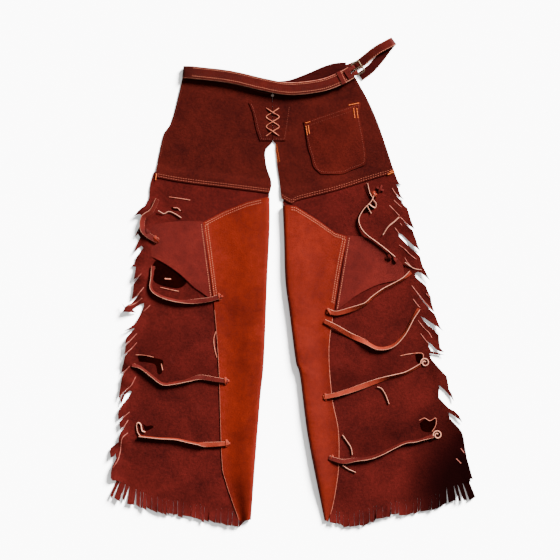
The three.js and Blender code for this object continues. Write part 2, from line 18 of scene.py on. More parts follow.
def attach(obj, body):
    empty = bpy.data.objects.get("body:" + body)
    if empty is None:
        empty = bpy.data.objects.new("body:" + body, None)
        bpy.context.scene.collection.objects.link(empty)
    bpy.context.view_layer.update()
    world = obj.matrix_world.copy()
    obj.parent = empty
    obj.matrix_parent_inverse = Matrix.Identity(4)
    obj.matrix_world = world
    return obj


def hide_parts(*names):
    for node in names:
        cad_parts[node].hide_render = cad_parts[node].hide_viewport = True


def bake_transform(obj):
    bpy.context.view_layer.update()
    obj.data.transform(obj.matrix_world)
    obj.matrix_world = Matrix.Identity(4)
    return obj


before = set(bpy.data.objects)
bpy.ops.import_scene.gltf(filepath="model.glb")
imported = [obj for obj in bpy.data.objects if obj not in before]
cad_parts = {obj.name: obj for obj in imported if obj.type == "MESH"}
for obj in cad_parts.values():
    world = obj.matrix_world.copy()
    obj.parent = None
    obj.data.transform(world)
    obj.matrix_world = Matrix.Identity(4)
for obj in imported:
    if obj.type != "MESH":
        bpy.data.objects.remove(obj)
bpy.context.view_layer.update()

LOG = logging.getLogger("chaps")
MM = 0.001
LEATHER = 0.002
GAP = 0.0003
ON_PANEL = LEATHER + GAP
FOLD_RADIUS = 0.007
FOLD_OUTSIDE = FOLD_RADIUS + LEATHER / 2

Point = tuple[float, float]
Height = Callable[[float, float], float]
Colour = tuple[int, int, int]
PaintedShadeSpots = tuple[tuple[float, float, float, float], ...]


class Body(Enum):
    """The moving bodies of the frame."""

    CHAPS = "chaps"
    LEFT = "left_flap"
    RIGHT = "right_flap"
    BUCKLE = "buckle"
    PRONG = "prong"


# ---- Shader maths ---------------------------------------------------------------------------


class Sock:
    """A shader value that adds Math nodes when it is used in an expression."""

    def __init__(self, tree: bpy.types.NodeTree, socket: bpy.types.NodeSocket) -> None:
        """Wraps one output socket of a node tree."""
        self.tree = tree
        self.socket = socket

    def math(self, operation: str, *others: "Sock | float", clamp: bool = False) -> "Sock":
        """Adds one Math node.

        Args:
            operation: the node's operation.
            others: the values after this one.
            clamp: whether the result is kept between 0 and 1.

        Returns:
            The node's result.
        """
        node = self.tree.nodes.new("ShaderNodeMath")
        node.operation = operation
        node.use_clamp = clamp
        for slot, value in enumerate((self, *others)):
            if isinstance(value, Sock):
                self.tree.links.new(value.socket, node.inputs[slot])
            else:
                node.inputs[slot].default_value = value
        return Sock(self.tree, node.outputs[0])

    def __add__(self, other: "Sock | float") -> "Sock":
        """self + other."""
        return self.math("ADD", other)

    def __sub__(self, other: "Sock | float") -> "Sock":
        """self - other."""
        return self.math("SUBTRACT", other)

    def __rsub__(self, other: float) -> "Sock":
        """other - self."""
        return (self * -1.0).math("ADD", other)

    def __mul__(self, other: "Sock | float") -> "Sock":
        """self * other."""
        return self.math("MULTIPLY", other)

    __radd__ = __add__
    __rmul__ = __mul__

    def between(self, low: float, high: float) -> "Sock":
        """The share of the way from low to high, kept between 0 and 1."""
        return ((self - low) * (1 / (high - low))).math("ADD", 0.0, clamp=True)


# The studio is bright, so every colour is dimmed by this share.
DIM = 0.225


def tint(red: int, green: int, blue: int) -> tuple[float, float, float, float]:
    """A display colour in 0 to 255 as a linear shader colour, dimmed for the bright studio."""

    def linear(value: int) -> float:
        share = value / 255
        return share / 12.92 if share <= 0.04045 else ((share + 0.055) / 1.055) ** 2.4

    return (linear(red) * DIM, linear(green) * DIM, linear(blue) * DIM, 1.0)


class Finish:
    """A material under construction, with its Principled shader."""

    def __init__(self, name: str) -> None:
        """Starts an empty material of that name."""
        self.material = bpy.data.materials.new(name)
        self.material.use_nodes = True
        self.tree = self.material.node_tree
        self.shader = self.tree.nodes["Principled BSDF"]
        self.place = Sock(self.tree, self.add("ShaderNodeTexCoord").outputs["Object"])

    def add(self, kind: str, settings: dict | None = None, **inputs: object) -> bpy.types.Node:
        """Adds a node.

        Args:
            kind: the node's type.
            settings: its attributes, set first.
            inputs: values or links of its sockets, with _ for a space, or i and its number.

        Returns:
            The node.
        """
        node = self.tree.nodes.new(kind)
        for key, value in (settings or {}).items():
            setattr(node, key, value)
        for key, value in inputs.items():
            numbered = key[0] == "i" and key[1:].isdigit()
            socket = node.inputs[int(key[1:]) if numbered else key.replace("_", " ")]
            if isinstance(value, Sock):
                self.tree.links.new(value.socket, socket)
            else:
                socket.default_value = value
        return node

    def cloud(self, scale: float, detail: float = 3.0, rough: float = 0.55, warp: float = 0.0) -> Sock:
        """Noise of about 1/scale metres, from 0 to 1."""
        node = self.add("ShaderNodeTexNoise", None, Vector=self.place, Scale=scale, Detail=detail,
                        Roughness=rough, Distortion=warp)
        return Sock(self.tree, node.outputs[0])

    def cells(self, scale: float) -> Sock:
        """Distance to the edge of a cell, for grain."""
        edge = {"feature": "DISTANCE_TO_EDGE"}
        node = self.add("ShaderNodeTexVoronoi", edge, Vector=self.place, Scale=scale)
        return Sock(self.tree, node.outputs["Distance"])

    def blend(self, share: Sock, low: Sock | tuple, high: Sock | tuple, mode: str = "MIX") -> Sock:
        """A mix of two colours."""
        node = self.add("ShaderNodeMix", {"data_type": "RGBA", "blend_type": mode}, i0=share, i6=low, i7=high)
        return Sock(self.tree, node.outputs[2])

    def spot(self, x: float, y: float, radius: float) -> Sock:
        """A soft round mask on the leather, 1 at its middle."""
        node = self.add("ShaderNodeVectorMath", {"operation": "DISTANCE"}, i0=self.place, i1=(x, y, 0.0))
        return 1 - Sock(self.tree, node.outputs["Value"]).between(0.0, radius)

    def shade(self, colour: Sock, painted_shade_spots: PaintedShadeSpots, dark: tuple[float, float, float, float]) -> Sock:
        """Painted shade: the colour with each soft spot of the hide turned towards a darker one."""
        for x, y, radius, strength in painted_shade_spots:
            colour = self.blend(self.spot(x, y, radius) * strength, colour, dark)
        return colour

    def set(self, **inputs: Sock | float | tuple) -> "Finish":
        """Sets or links sockets of the shader, with _ for a space."""
        for key, value in inputs.items():
            socket = self.shader.inputs[key.replace("_", " ")]
            if isinstance(value, Sock):
                self.tree.links.new(value.socket, socket)
            else:
                socket.default_value = value
        return self

    def bump(self, height: Sock, depth: float) -> "Finish":
        """Relief from a height of 0 to 1, depth metres deep."""
        node = self.add("ShaderNodeBump", None, Height=height, Distance=depth, Strength=1.0)
        return self.set(Normal=Sock(self.tree, node.outputs[0]))


@dataclass(frozen=True)
class Suede:
    """Rough side out: napped, cloudy and matt."""

    name: str
    dark: Colour
    light: Colour
    painted_shade_spots: PaintedShadeSpots = ()

    def make(self) -> bpy.types.Material:
        """Builds the material."""
        finish = Finish(self.name)
        clouds = finish.cloud(14, 4, 0.6, 0.4)
        nap = finish.cloud(190, 4, 0.65)
        pores = finish.cloud(900, 2, 0.7)
        tone = (clouds * 0.9 + nap * 0.75 + pores * 0.35).between(0.68, 1.32)
        colour = finish.blend(tone, tint(*self.dark), tint(*self.light))
        scuff = finish.cloud(33, 5, 0.7, 1.2).between(0.62, 0.78) * 0.35
        paler = tuple(min(255, c + 12) for c in self.light)
        colour = finish.blend(scuff, colour, tint(*paler))
        # Painted shade: soft spots of the suede blended towards near-black.
        colour = finish.shade(colour, self.painted_shade_spots, tint(20, 4, 4))
        finish.set(Base_Color=colour, Roughness=0.94, Specular_IOR_Level=0.0)
        finish.bump(nap * 0.7 + pores * 0.5 + clouds * 0.6, 0.0012)
        return finish.material


@dataclass(frozen=True)
class Grain:
    """Smooth side: pebbled, oiled, with darker rubs and fine creases."""

    name: str
    dark: Colour
    light: Colour
    roughness: float = 0.5
    coat: float = 0.08
    painted_shade_spots: PaintedShadeSpots = ()

    def make(self) -> bpy.types.Material:
        """Builds the material."""
        finish = Finish(self.name)
        clouds = finish.cloud(9, 4, 0.6, 0.8)
        mottle = finish.cloud(70, 5, 0.65)
        tone = (clouds * 1.1 + mottle * 0.7).between(0.55, 1.25)
        colour = finish.blend(tone, tint(*self.dark), tint(*self.light))
        pebble = finish.cells(520).between(0.0, 0.22)
        colour = finish.blend((1 - pebble) * 0.22, colour, tint(40, 5, 2))
        rub = finish.cloud(26, 6, 0.75, 2.0).between(0.6, 0.74) * 0.3
        colour = finish.blend(rub, colour, tint(*(c // 2 for c in self.dark)))
        # Painted shade: soft spots of the grain blended towards a dark red-brown.
        colour = finish.shade(colour, self.painted_shade_spots, tint(40, 6, 3))
        rough = (mottle * 0.25 + self.roughness - 0.1).between(0.0, 1.0)
        finish.set(Base_Color=colour, Roughness=rough, Coat_Weight=self.coat, Coat_Roughness=0.45)
        finish.set(Specular_IOR_Level=0.01)
        creases = finish.cloud(45, 6, 0.6, 1.5)
        finish.bump(pebble * 0.35 + mottle * 0.5 + creases * 0.8, 0.0007)
        return finish.material


@dataclass(frozen=True)
class Plain:
    """Thread, cut edge or metal: one colour with a little life in it."""

    name: str
    dark: Colour
    light: Colour
    scale: float = 300
    roughness: float = 0.8
    metallic: float = 0.0

    def make(self) -> bpy.types.Material:
        """Builds the material."""
        finish = Finish(self.name)
        fleck = finish.cloud(self.scale, 4, 0.7)
        colour = finish.blend(fleck.between(0.35, 0.65), tint(*self.dark), tint(*self.light))
        rough = (fleck * 0.3 + self.roughness - 0.15).between(0.0, 1.0)
        finish.set(Base_Color=colour, Roughness=rough, Metallic=self.metallic, Specular_IOR_Level=0.08)
        finish.bump(fleck, 0.0003)
        return finish.material


# Painted shade on the hides, as soft darker spots: shadow by the folds near the ties, under the belt by the
# lacing and at the belt's turn, and shade on the flaps, most on the right flap, which the key lights more;
# the right panel's lower corner is darkened too. Each spot: x, y, radius and strength, in metres on the laid
# chaps.
YOKE_PAINTED_SHADE: PaintedShadeSpots = ((-0.05, 0.43, 0.06, 0.3),)
PANEL_PAINTED_SHADE_AND_DARKENING: PaintedShadeSpots = (
    (0.41, -0.455, 0.175, 1.6), (0.36, -0.49, 0.12, 1.0), (0.39, -0.36, 0.09, 0.8),
    (0.33, -0.41, 0.08, 0.35), (0.3, -0.325, 0.06, 0.5), (-0.3, -0.185, 0.09, 0.35),
    (-0.2, -0.205, 0.06, 0.3), (0.16, -0.375, 0.05, 0.4), (0.22, -0.345, 0.05, 0.45),
    (0.12, -0.225, 0.05, 0.4), (0.2, -0.19, 0.06, 0.35), (-0.3, -0.335, 0.05, 0.3),
    (0.12, -0.48, 0.03, 0.3),
)
FLAP_PAINTED_SHADE: PaintedShadeSpots = (
    (-0.12, -0.5, 0.1, 0.25), (0.09, -0.53, 0.12, 0.4), (-0.17, -0.35, 0.06, 0.12), (0.03, -0.08, 0.16, 0.2),
    (0.05, -0.28, 0.17, 0.3), (0.07, -0.43, 0.15, 0.4),
)
BELT_PAINTED_SHADE: PaintedShadeSpots = ((-0.25, 0.472, 0.045, 1.2), (-0.2, 0.468, 0.06, 0.4))


class Wardrobe:
    """Every finish of the chaps, made once."""

    def __init__(self) -> None:
        """Builds the materials."""
        self.yoke = Suede("yoke suede", (40, 11, 10), (76, 23, 18), YOKE_PAINTED_SHADE).make()
        self.pocket = Suede("pocket suede", (48, 13, 11), (84, 25, 19)).make()
        self.panel = Suede("panel suede", (44, 12, 11), (87, 25, 22), PANEL_PAINTED_SHADE_AND_DARKENING).make()
        self.flap = Grain("flap grain", (90, 20, 11), (132, 34, 18), 0.55, 0.002, FLAP_PAINTED_SHADE).make()
        self.lobe = Grain("lobe grain", (68, 17, 15), (106, 31, 26), 0.65, 0.0).make()
        self.belt = Grain("belt grain", (50, 9, 6), (88, 20, 12), 0.5, 0.008, BELT_PAINTED_SHADE).make()
        # The ties' leather comes in two copies: lit strap leather is painted light for ties in the light, and
        # strap leather is painted shade for ties in shadow; strap leather is also the colour of the chape,
        # keeper and rosettes.
        self.strap = Grain("strap leather", (56, 14, 12), (100, 30, 24), 0.65, 0.0).make()
        self.orange = Grain("lit strap leather", (104, 30, 18), (158, 58, 38), 0.6, 0.0).make()
        self.flesh = Suede("flesh side", (32, 8, 8), (62, 17, 15)).make()
        # Near-black, for the painted shade in the tie holes and beneath the left lobe.
        self.hollow = Suede("hollow", (4, 0, 0), (30, 4, 2)).make()
        self.edge = Plain("cut edge", (188, 108, 84), (226, 156, 130)).make()
        # Near-white, as painted light: the eyelet stays bright in the belt's shade.
        self.ivory = Plain("ivory", (236, 196, 180), (255, 226, 214)).make()
        self.dull_edge = Plain("dull cut edge", (84, 26, 17), (124, 50, 36)).make()
        self.edge_dark = Plain("fringe cut edge", (88, 28, 20), (184, 100, 78), 90).make()
        self.fringe_line = Plain("fringe cut line", (120, 44, 34), (190, 108, 92), 120).make()
        self.edge_mid = Plain("lobe cut edge", (150, 64, 44), (210, 124, 98), 160).make()
        self.thread = Plain("pale thread", (176, 92, 66), (212, 130, 100), 900).make()
        self.seam_thread = Plain("seam thread", (136, 60, 42), (172, 88, 64), 900).make()
        self.dark_thread = Plain("faded thread", (96, 34, 22), (128, 54, 36), 900).make()
        self.orange_thread = Plain("orange thread", (200, 76, 20), (236, 118, 44), 900).make()
        self.lace = Plain("lacing thong", (120, 44, 30), (200, 108, 78), 120).make()
        self.metal = Plain("antique metal", (56, 42, 30), (128, 104, 80), 260, 0.42, 0.9).make()


# ---- Outlines and curves --------------------------------------------------------------------


def smooth(points: Sequence[Sequence[float]], step: float = 0.004) -> list[Vector]:
    """A rounded line through points, sampled about every step metres."""
    knots = [Vector(p) for p in points]
    if len(knots) == 2:
        count = max(1, round((knots[1] - knots[0]).length / step))
        return [knots[0].lerp(knots[1], i / count) for i in range(count + 1)]
    ends = [2 * knots[0] - knots[1], *knots, 2 * knots[-1] - knots[-2]]
    line = []
    for a, b, c, d in zip(ends, ends[1:], ends[2:], ends[3:]):
        count = max(1, round((c - b).length / step))
        for i in range(count):
            t = i / count
            line.append(0.5 * (2 * b + (c - a) * t + (2 * a - 5 * b + 4 * c - d) * t * t
                               + (3 * b - a - 3 * c + d) * t ** 3))
    return [*line, knots[-1]]


def pattern(*strokes: Sequence[Point], step: float = 0.005) -> list[Point]:
    """One outline from strokes in millimetres, each rounded and joined at corners, in metres."""
    outline: list[Point] = []
    for stroke in strokes:
        for at in smooth([(x * MM, y * MM) for x, y in stroke], step):
            if not outline or math.dist(outline[-1], at) > 2e-4:
                outline.append((at[0], at[1]))
    if math.dist(outline[0], outline[-1]) < 2e-4:
        outline.pop()
    return outline


@lru_cache(maxsize=None)
def reading(line: tuple[Point, ...]) -> Callable[[float], Point]:
    """A line of millimetre points as a function of its share from 0 to 1, in metres."""
    path = np.array([tuple(p) for p in smooth([(x * MM, y * MM) for x, y in line], 0.003)])
    run = np.concatenate([[0], np.cumsum(np.hypot(*np.diff(path, axis=0).T))])

    def at(share: float) -> Point:
        reach = min(1.0, max(0.0, share)) * run[-1]
        return float(np.interp(reach, run, path[:, 0])), float(np.interp(reach, run, path[:, 1]))

    return at


def ease(low: float, high: float, value: float) -> float:
    """Smoothstep of value between low and high."""
    t = min(1.0, max(0.0, (value - low) / (high - low)))
    return t * t * (3 - 2 * t)


def ripple(x: float, y: float, size: float, seed: float = 0.0) -> float:
    """Gentle noise from about -1 to 1, size metres across."""
    return noise.noise(Vector((x / size, y / size, seed))) * 1.6


# ---- Building pieces ------------------------------------------------------------------------


def finish_piece(
    thing: bpy.types.Object,
    body: Body,
    materials: Sequence[bpy.types.Material],
    replaces: Sequence[str] = (),
) -> bpy.types.Object:
    """Gives a piece its materials, its body and the nodes that it stands for."""
    for material in materials:
        thing.data.materials.append(material)
    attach(thing, body.value)
    if replaces:
        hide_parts(*replaces)
    LOG.info("%s: %d faces", thing.name, len(thing.data.polygons))
    return thing


def mesh_piece(
    name: str, points: Sequence[Sequence[float]], faces: Sequence[Sequence[int]],
    kinds: Sequence[int] | None = None, sharp: float = 40,
) -> bpy.types.Object:
    """A mesh object from points and faces, with a material index for each face."""
    mesh = bpy.data.meshes.new(name)
    mesh.from_pydata([tuple(p) for p in points], [], [tuple(f) for f in faces])
    if kinds is not None:
        mesh.polygons.foreach_set("material_index", list(kinds))
    thing = bpy.data.objects.new(name, mesh)
    bpy.context.scene.collection.objects.link(thing)
    smooth_faces(thing, sharp)
    return thing


def pick(thing: bpy.types.Object) -> None:
    """Selects one object alone."""
    bpy.ops.object.select_all(action="DESELECT")
    thing.select_set(True)
    bpy.context.view_layer.objects.active = thing


def smooth_faces(thing: bpy.types.Object, degrees: float) -> None:
    """Smooth shading up to an angle."""
    pick(thing)
    bpy.ops.object.shade_smooth_by_angle(angle=math.radians(degrees))


def thicken(thing: bpy.types.Object, thickness: float) -> None:
    """Gives a sheet its thickness, with the cut edge as its second material."""
    pick(thing)
    wall = thing.modifiers.new("hide", "SOLIDIFY")
    wall.thickness = thickness
    wall.offset = 0
    wall.material_offset_rim = 1
    bpy.ops.object.modifier_apply(modifier=wall.name)
    smooth_faces(thing, 40)


def inside(outline: np.ndarray, spots: np.ndarray) -> np.ndarray:
    """Which spots lie inside an outline."""
    x, y = spots[:, 0], spots[:, 1]
    hit = np.zeros(len(spots), bool)
    for (ax, ay), (bx, by) in zip(outline, np.roll(outline, -1, axis=0)):
        crosses = (ay > y) != (by > y)
        with np.errstate(divide="ignore", invalid="ignore"):
            hit ^= crosses & (x < (bx - ax) * (y - ay) / (by - ay) + ax)
    return hit


# A sheet's points stand in rows of even triangles, clear of its cut edge; as shares of their spacing.
ROW_SHARE = 0.87
EDGE_SHARE = 0.35


def cut_sheet(
    name: str, outline: Sequence[Point], height: Height, thickness: float = LEATHER, spacing: float = 0.007
) -> bpy.types.Object:
    """A piece of hide cut to an outline, its middle at height(x, y).

    Args:
        name: the piece's name.
        outline: its cut edge, in metres.
        height: the height of its middle surface.
        thickness: of the hide.
        spacing: between the points of its mesh.

    Returns:
        The piece, with thickness.
    """
    edge = np.array(outline)
    low, high = edge.min(0), edge.max(0)
    rows = int((high[1] - low[1]) / (spacing * ROW_SHARE)) + 1
    columns = int((high[0] - low[0]) / spacing) + 1
    grid = [
        (low[0] + (i + 0.5 * (j % 2)) * spacing, low[1] + j * spacing * ROW_SHARE)
        for j in range(rows) for i in range(columns)
    ]
    spots = np.array(grid)
    spots = spots[inside(edge, spots)]
    gaps = np.full(len(spots), 1.0)
    for (ax, ay), (bx, by) in zip(edge, np.roll(edge, -1, axis=0)):
        ab = np.array([bx - ax, by - ay])
        reach = np.clip(((spots - (ax, ay)) @ ab) / max(1e-12, ab @ ab), 0, 1)
        near = np.hypot(*(spots - (ax, ay) - reach[:, None] * ab).T)
        gaps = np.minimum(gaps, near)
    spots = spots[gaps > spacing * EDGE_SHARE]
    points = [Vector(p) for p in (*outline, *map(tuple, spots))]
    count = len(outline)
    edges = [(i, (i + 1) % count) for i in range(count)]
    found, _, faces, *_ = delaunay_2d_cdt(points, edges, [], 1, 1e-6)
    flat = [(p.x, p.y, height(p.x, p.y)) for p in found]
    thing = mesh_piece(name, flat, faces)
    thicken(thing, thickness)
    return thing


def ribbon(
    name: str, line: Sequence[Vector], section: Sequence[tuple[float, float]], kinds: Sequence[int],
    roll: Callable[[float], float] = lambda share: 0.0,
    scale: Callable[[float], float] = lambda share: 1.0,
    across: Callable[[float], Vector] | None = None,
) -> bpy.types.Object:
    """A strap of one section along a line.

    Args:
        name: the piece's name.
        line: its middle, in metres.
        section: corners as (across, up), anticlockwise.
        kinds: the material index of the face after each corner.
        roll: turn about the line in radians, at each share of it.
        scale: the strap's width, as a share of the section's.
        across: the strap's width direction, instead of level.

    Returns:
        The closed piece.
    """
    points, faces, indices = [], [], []
    size = len(section)
    last = len(line) - 1
    side = Vector((0, 1, 0))
    for i, at in enumerate(line):
        share = i / last
        along = (line[min(last, i + 1)] - line[max(0, i - 1)]).normalized()
        level = Vector((-along.y, along.x, 0))
        if across is not None:
            side = across(share)
        elif level.length > 0.2:
            side = -level if i and side.dot(level) < 0 else level
        side = (side - along * side.dot(along)).normalized()
        up = along.cross(side).normalized()
        angle = roll(share)
        turned = side * math.cos(angle) + up * math.sin(angle)
        raised = up * math.cos(angle) - side * math.sin(angle)
        for out, high in section:
            points.append(at + turned * out * scale(share) + raised * high)
    for i in range(last):
        for k in range(size):
            a, b = i * size + k, i * size + (k + 1) % size
            faces.append((a, a + size, b + size, b))
            indices.append(kinds[k])
    faces += [tuple(range(size)), tuple(last * size + k for k in reversed(range(size)))]
    indices += [kinds[1], kinds[1]]
    thing = mesh_piece(name, points, faces, indices, 35)
    recalculate(thing)
    return thing


def recalculate(thing: bpy.types.Object) -> None:
    """Turns a closed piece's faces outward."""
    shape = bmesh.new()
    shape.from_mesh(thing.data)
    bmesh.ops.remove_doubles(shape, verts=shape.verts, dist=1e-6)
    bmesh.ops.recalc_face_normals(shape, faces=shape.faces)
    shape.to_mesh(thing.data)
    shape.free()


def strap_section(width: float, thick: float) -> tuple[list[tuple[float, float]], list[int]]:
    """A strap's section with softened corners, and its faces: 0 top, 1 cut edge, 2 flesh side."""
    half, high, soft = width / 2, thick / 2, thick * 0.22
    corners = [
        (-half + soft, high), (-half, high - soft), (-half, soft - high), (-half + soft, -high),
        (half - soft, -high), (half, soft - high), (half, high - soft), (half - soft, high),
    ]
    return corners, [1, 1, 1, 2, 1, 1, 1, 0]


def join(name: str, things: Sequence[bpy.types.Object]) -> bpy.types.Object:
    """Joins pieces into one object of that name."""
    bpy.ops.object.select_all(action="DESELECT")
    for thing in things:
        thing.select_set(True)
    bpy.context.view_layer.objects.active = things[0]
    if len(things) > 1:
        bpy.ops.object.join()
    things[0].name = name
    things[0].data.name = name
    return things[0]


def sew(
    name: str, rows: Sequence[Sequence[Vector]], slot: str, thread: bpy.types.Material,
    body: Body = Body.CHAPS, pitch: float = 0.0048, length: float = 0.0034, thick: float = 0.0011,
) -> None:
    """Separate stitches along rows, each a short bar that dips into the hide at its ends.

    Args:
        name: the piece's name.
        rows: the lines that the stitches follow, on the face of the hide.
        slot: the finish slot of the hide; not used.
        thread: the material.
        body: the body that the hide belongs to.
        pitch: from one stitch to the next, in metres.
        length: of one stitch.
        thick: of the thread.
    """
    points, faces = [], []
    rings = ((-0.5, 0.25, -0.5), (-0.3, 0.9, 0.1), (0.3, 0.9, 0.1), (0.5, 0.25, -0.5))
    for row in rows:
        steps = np.array([tuple(p) for p in row])
        run = np.concatenate([[0], np.cumsum(np.linalg.norm(np.diff(steps, axis=0), axis=1))])
        count = int(run[-1] / pitch)
        for i in range(count):
            middle = (i + 0.5) * run[-1] / count
            reaches = (middle, min(run[-1], middle + length / 2), max(0, middle - length / 2))
            at, ahead, behind = (
                Vector([np.interp(reach, run, steps[:, k]) for k in range(3)]) for reach in reaches
            )
            along = (ahead - behind).normalized()
            side = Vector((-along.y, along.x, 0)).normalized()
            start = len(points)
            for reach, fat, rise in rings:
                for out, up in ((-0.5, 0), (0, 0.5), (0.5, 0), (0, -0.5)):
                    spot = at + along * reach * length + side * out * fat * thick
                    points.append(spot + Vector((0, 0, (up * fat + rise) * thick)))
            for ring in range(3):
                for k in range(4):
                    a, b = start + ring * 4 + k, start + ring * 4 + (k + 1) % 4
                    faces.append((a, b, b + 4, a + 4))
            faces.append((start + 3, start + 2, start + 1, start))
            faces.append((start + 12, start + 13, start + 14, start + 15))
    finish_piece(mesh_piece(name, points, faces, None, 60), body, (thread,))


def tube(name: str, line: Sequence[Vector], radius: float, closed: bool = False) -> bpy.types.Object:
    """A round bar or cord along a line."""
    curve = bpy.data.curves.new(name, "CURVE")
    curve.dimensions = "3D"
    curve.bevel_depth = radius
    curve.bevel_resolution = 3
    curve.use_fill_caps = True
    spline = curve.splines.new("POLY")
    spline.points.add(len(line) - 1)
    for spot, at in zip(spline.points, line):
        spot.co = (*at, 1)
    spline.use_cyclic_u = closed
    thing = bpy.data.objects.new(name, curve)
    bpy.context.scene.collection.objects.link(thing)
    pick(thing)
    bpy.ops.object.convert(target="MESH")
    smooth_faces(thing, 50)
    return thing


def strips(name: str, bands: Sequence[Sequence[Sequence[Vector]]], thickness: float) -> bpy.types.Object:
    """Cut strips, each a list of rows across it, with thickness and a cut edge."""
    points, faces = [], []
    for rows in bands:
        start, wide = len(points), len(rows[0])
        for row in rows:
            points.extend(row)
        for i in range(len(rows) - 1):
            for k in range(wide - 1):
                a = start + i * wide + k
                faces.append((a, a + 1, a + 1 + wide, a + wide))
    thing = mesh_piece(name, points, faces)
    thicken(thing, thickness)
    return thing


def lie(x: float, y: float) -> float:
    """How far the hide lifts off the table, for every layer alike."""
    return max(0.0, 0.0005 * (1 + 0.7 * ripple(x, y, 0.15) + 0.45 * ripple(x, y, 0.05, 3.0)))


def panel_face(x: float, y: float) -> float:
    """The height of the face of a hide that lies on the table."""
    return lie(x, y) + LEATHER


def on(height: Height, line: Sequence[Point], step: float = 0.003) -> list[Vector]:
    """A line of millimetre points laid on a height."""
    return [Vector((x, y, height(x, y))) for x, y in smooth([(x * MM, y * MM) for x, y in line], step)]


def area_of(outline: Sequence[Point]) -> float:
    """The area inside an outline."""
    pairs = zip(outline, (*outline[1:], outline[0]))
    return abs(sum(ax * by - bx * ay for (ax, ay), (bx, by) in pairs)) / 2


def declare_laid(outline: Sequence[Point]) -> None:
    """Measures a hide's flat pattern; nothing is kept."""
    edge = np.array(outline)
    width, length = edge.max(0) - edge.min(0)
    area = area_of(outline)
    float(max(length, area / width))


# ---- Yoke, patches and pocket ---------------------------------------------------------------

SEAM_LAP = 0.012
LIFTED = SEAM_LAP + 0.006
SEAM_RAMP = 0.014
PATCH_LEATHER = 0.0016
PATCH_FACE = PATCH_LEATHER / 2 + 0.0001
PATCH_SPACING = 0.006
FLY_X = -44.5
POCKET_LEFT, POCKET_WIDE = 0.024, 0.135
POCKET_FOOT, POCKET_TALL = 0.25, 0.15
POCKET_SWELL = 0.0052


@dataclass(frozen=True)
class Yoke:
    """Half of the yoke, from the waist down to its lapped seam."""

    side: str
    outer: tuple[Point, ...]
    seam: tuple[Point, ...]
    crotch: tuple[Point, ...]
    top: tuple[Point, ...]

    def seam_y(self, x: float) -> float:
        """The seam's height up the sheet at x, in metres."""
        ends = sorted((px * MM, py * MM) for px, py in self.seam)
        return float(np.interp(x, [p[0] for p in ends], [p[1] for p in ends]))

    def under(self, x: float, y: float) -> float:
        """The height of the yoke's underside."""
        above = y - self.seam_y(x)
        return lie(x, y) + ON_PANEL * (1 - ease(LIFTED, LIFTED + SEAM_RAMP, above))

    def middle(self, x: float, y: float) -> float:
        """The height of its middle."""
        return self.under(x, y) + LEATHER / 2

    def face(self, x: float, y: float) -> float:
        """The height of its face."""
        return self.under(x, y) + LEATHER

    def build(self, finishes: Wardrobe) -> None:
        """Makes the half yoke and its seam stitches."""
        outline = pattern(self.outer, self.seam, self.crotch, self.top)
        hide = cut_sheet(f"{self.side}_yoke_hide", outline, self.middle)
        mats = (finishes.yoke, finishes.dull_edge)
        finish_piece(hide, Body.CHAPS, mats, (f"{self.side}_yoke",))
        declare_laid(outline)
        edge = [(x + (1 if x < 0 else -1) * 3.5, y) for x, y in self.outer[:-1]]
        sew(f"{self.side}_yoke_edge_stitches", [on(self.face, edge)], "suede_yoke", finishes.dark_thread,
            pitch=0.0046, length=0.003, thick=0.0007)
        rows = [on(self.face, [(x, y + above) for x, y in self.seam]) for above in (3.2, 8.2)]
        sew(f"{self.side}_seam_stitches", rows, "suede_yoke", finishes.seam_thread,
            pitch=0.0056, length=0.0044, thick=0.0012)


LEFT_YOKE = Yoke(
    "left", ((-245, 470), (-258, 412), (-273, 358), (-289, 333), (-301, 282), (-309, 236)),
    ((-309, 236), (-262, 227), (-213, 220), (-130, 210), (-51, 200)),
    (
        (-51, 200), (-47, 224), (-58, 259), (-61, 293), (-50, 309), (-44.7, 317), (-44.7, 360),
        (-44.7, 437),
    ),
    ((-44.7, 437), (-62, 441), (-100, 450), (-150, 461), (-205, 468), (-245, 470)),
)
RIGHT_YOKE = Yoke(
    "right", ((140, 462), (169, 410), (191, 360), (208, 312), (223, 266), (228, 246)),
    ((228, 246), (168, 228), (98, 206), (12, 184), (0, 176), (-25, 188)),
    (
        (-25, 188), (-29, 224), (-34, 259), (-37, 290), (-38, 311), (-44.3, 319), (-44.3, 360),
        (-44.3, 437),
    ),
    ((-44.3, 437), (-27, 438), (0, 441), (60, 458), (100, 466), (140, 462)),
)


def patch_height(x: float, y: float) -> float:
    """The middle of a patch on the yoke."""
    yoke = LEFT_YOKE if x < FLY_X * MM else RIGHT_YOKE
    return yoke.face(x, y) + GAP + PATCH_LEATHER / 2


def pocket_height(x: float, y: float) -> float:
    """The middle of the pocket: sewn down at its sides and foot, gaping at the mouth."""
    along = (x - POCKET_LEFT) / POCKET_WIDE
    rise = min(1.0, max(0.0, (y - POCKET_FOOT) / POCKET_TALL))
    swell = POCKET_SWELL * max(0.0, math.sin(math.pi * min(1.0, max(0.0, along)))) ** 0.7 * rise ** 1.3
    return RIGHT_YOKE.face(x, y) + GAP + PATCH_LEATHER / 2 + swell + 0.0004 * ripple(x, y, 0.03, 8.0)


POCKET = (
    ((24, 360), (88, 381), (154, 403)),
    ((154, 403), (151, 372), (159, 334), (165, 297), (166, 278), (163, 263)),
    ((163, 263), (134, 252), (111, 243), (64, 243)),
    ((64, 243), (48, 259), (42, 281), (35, 304), (28, 351), (24, 360)),
)


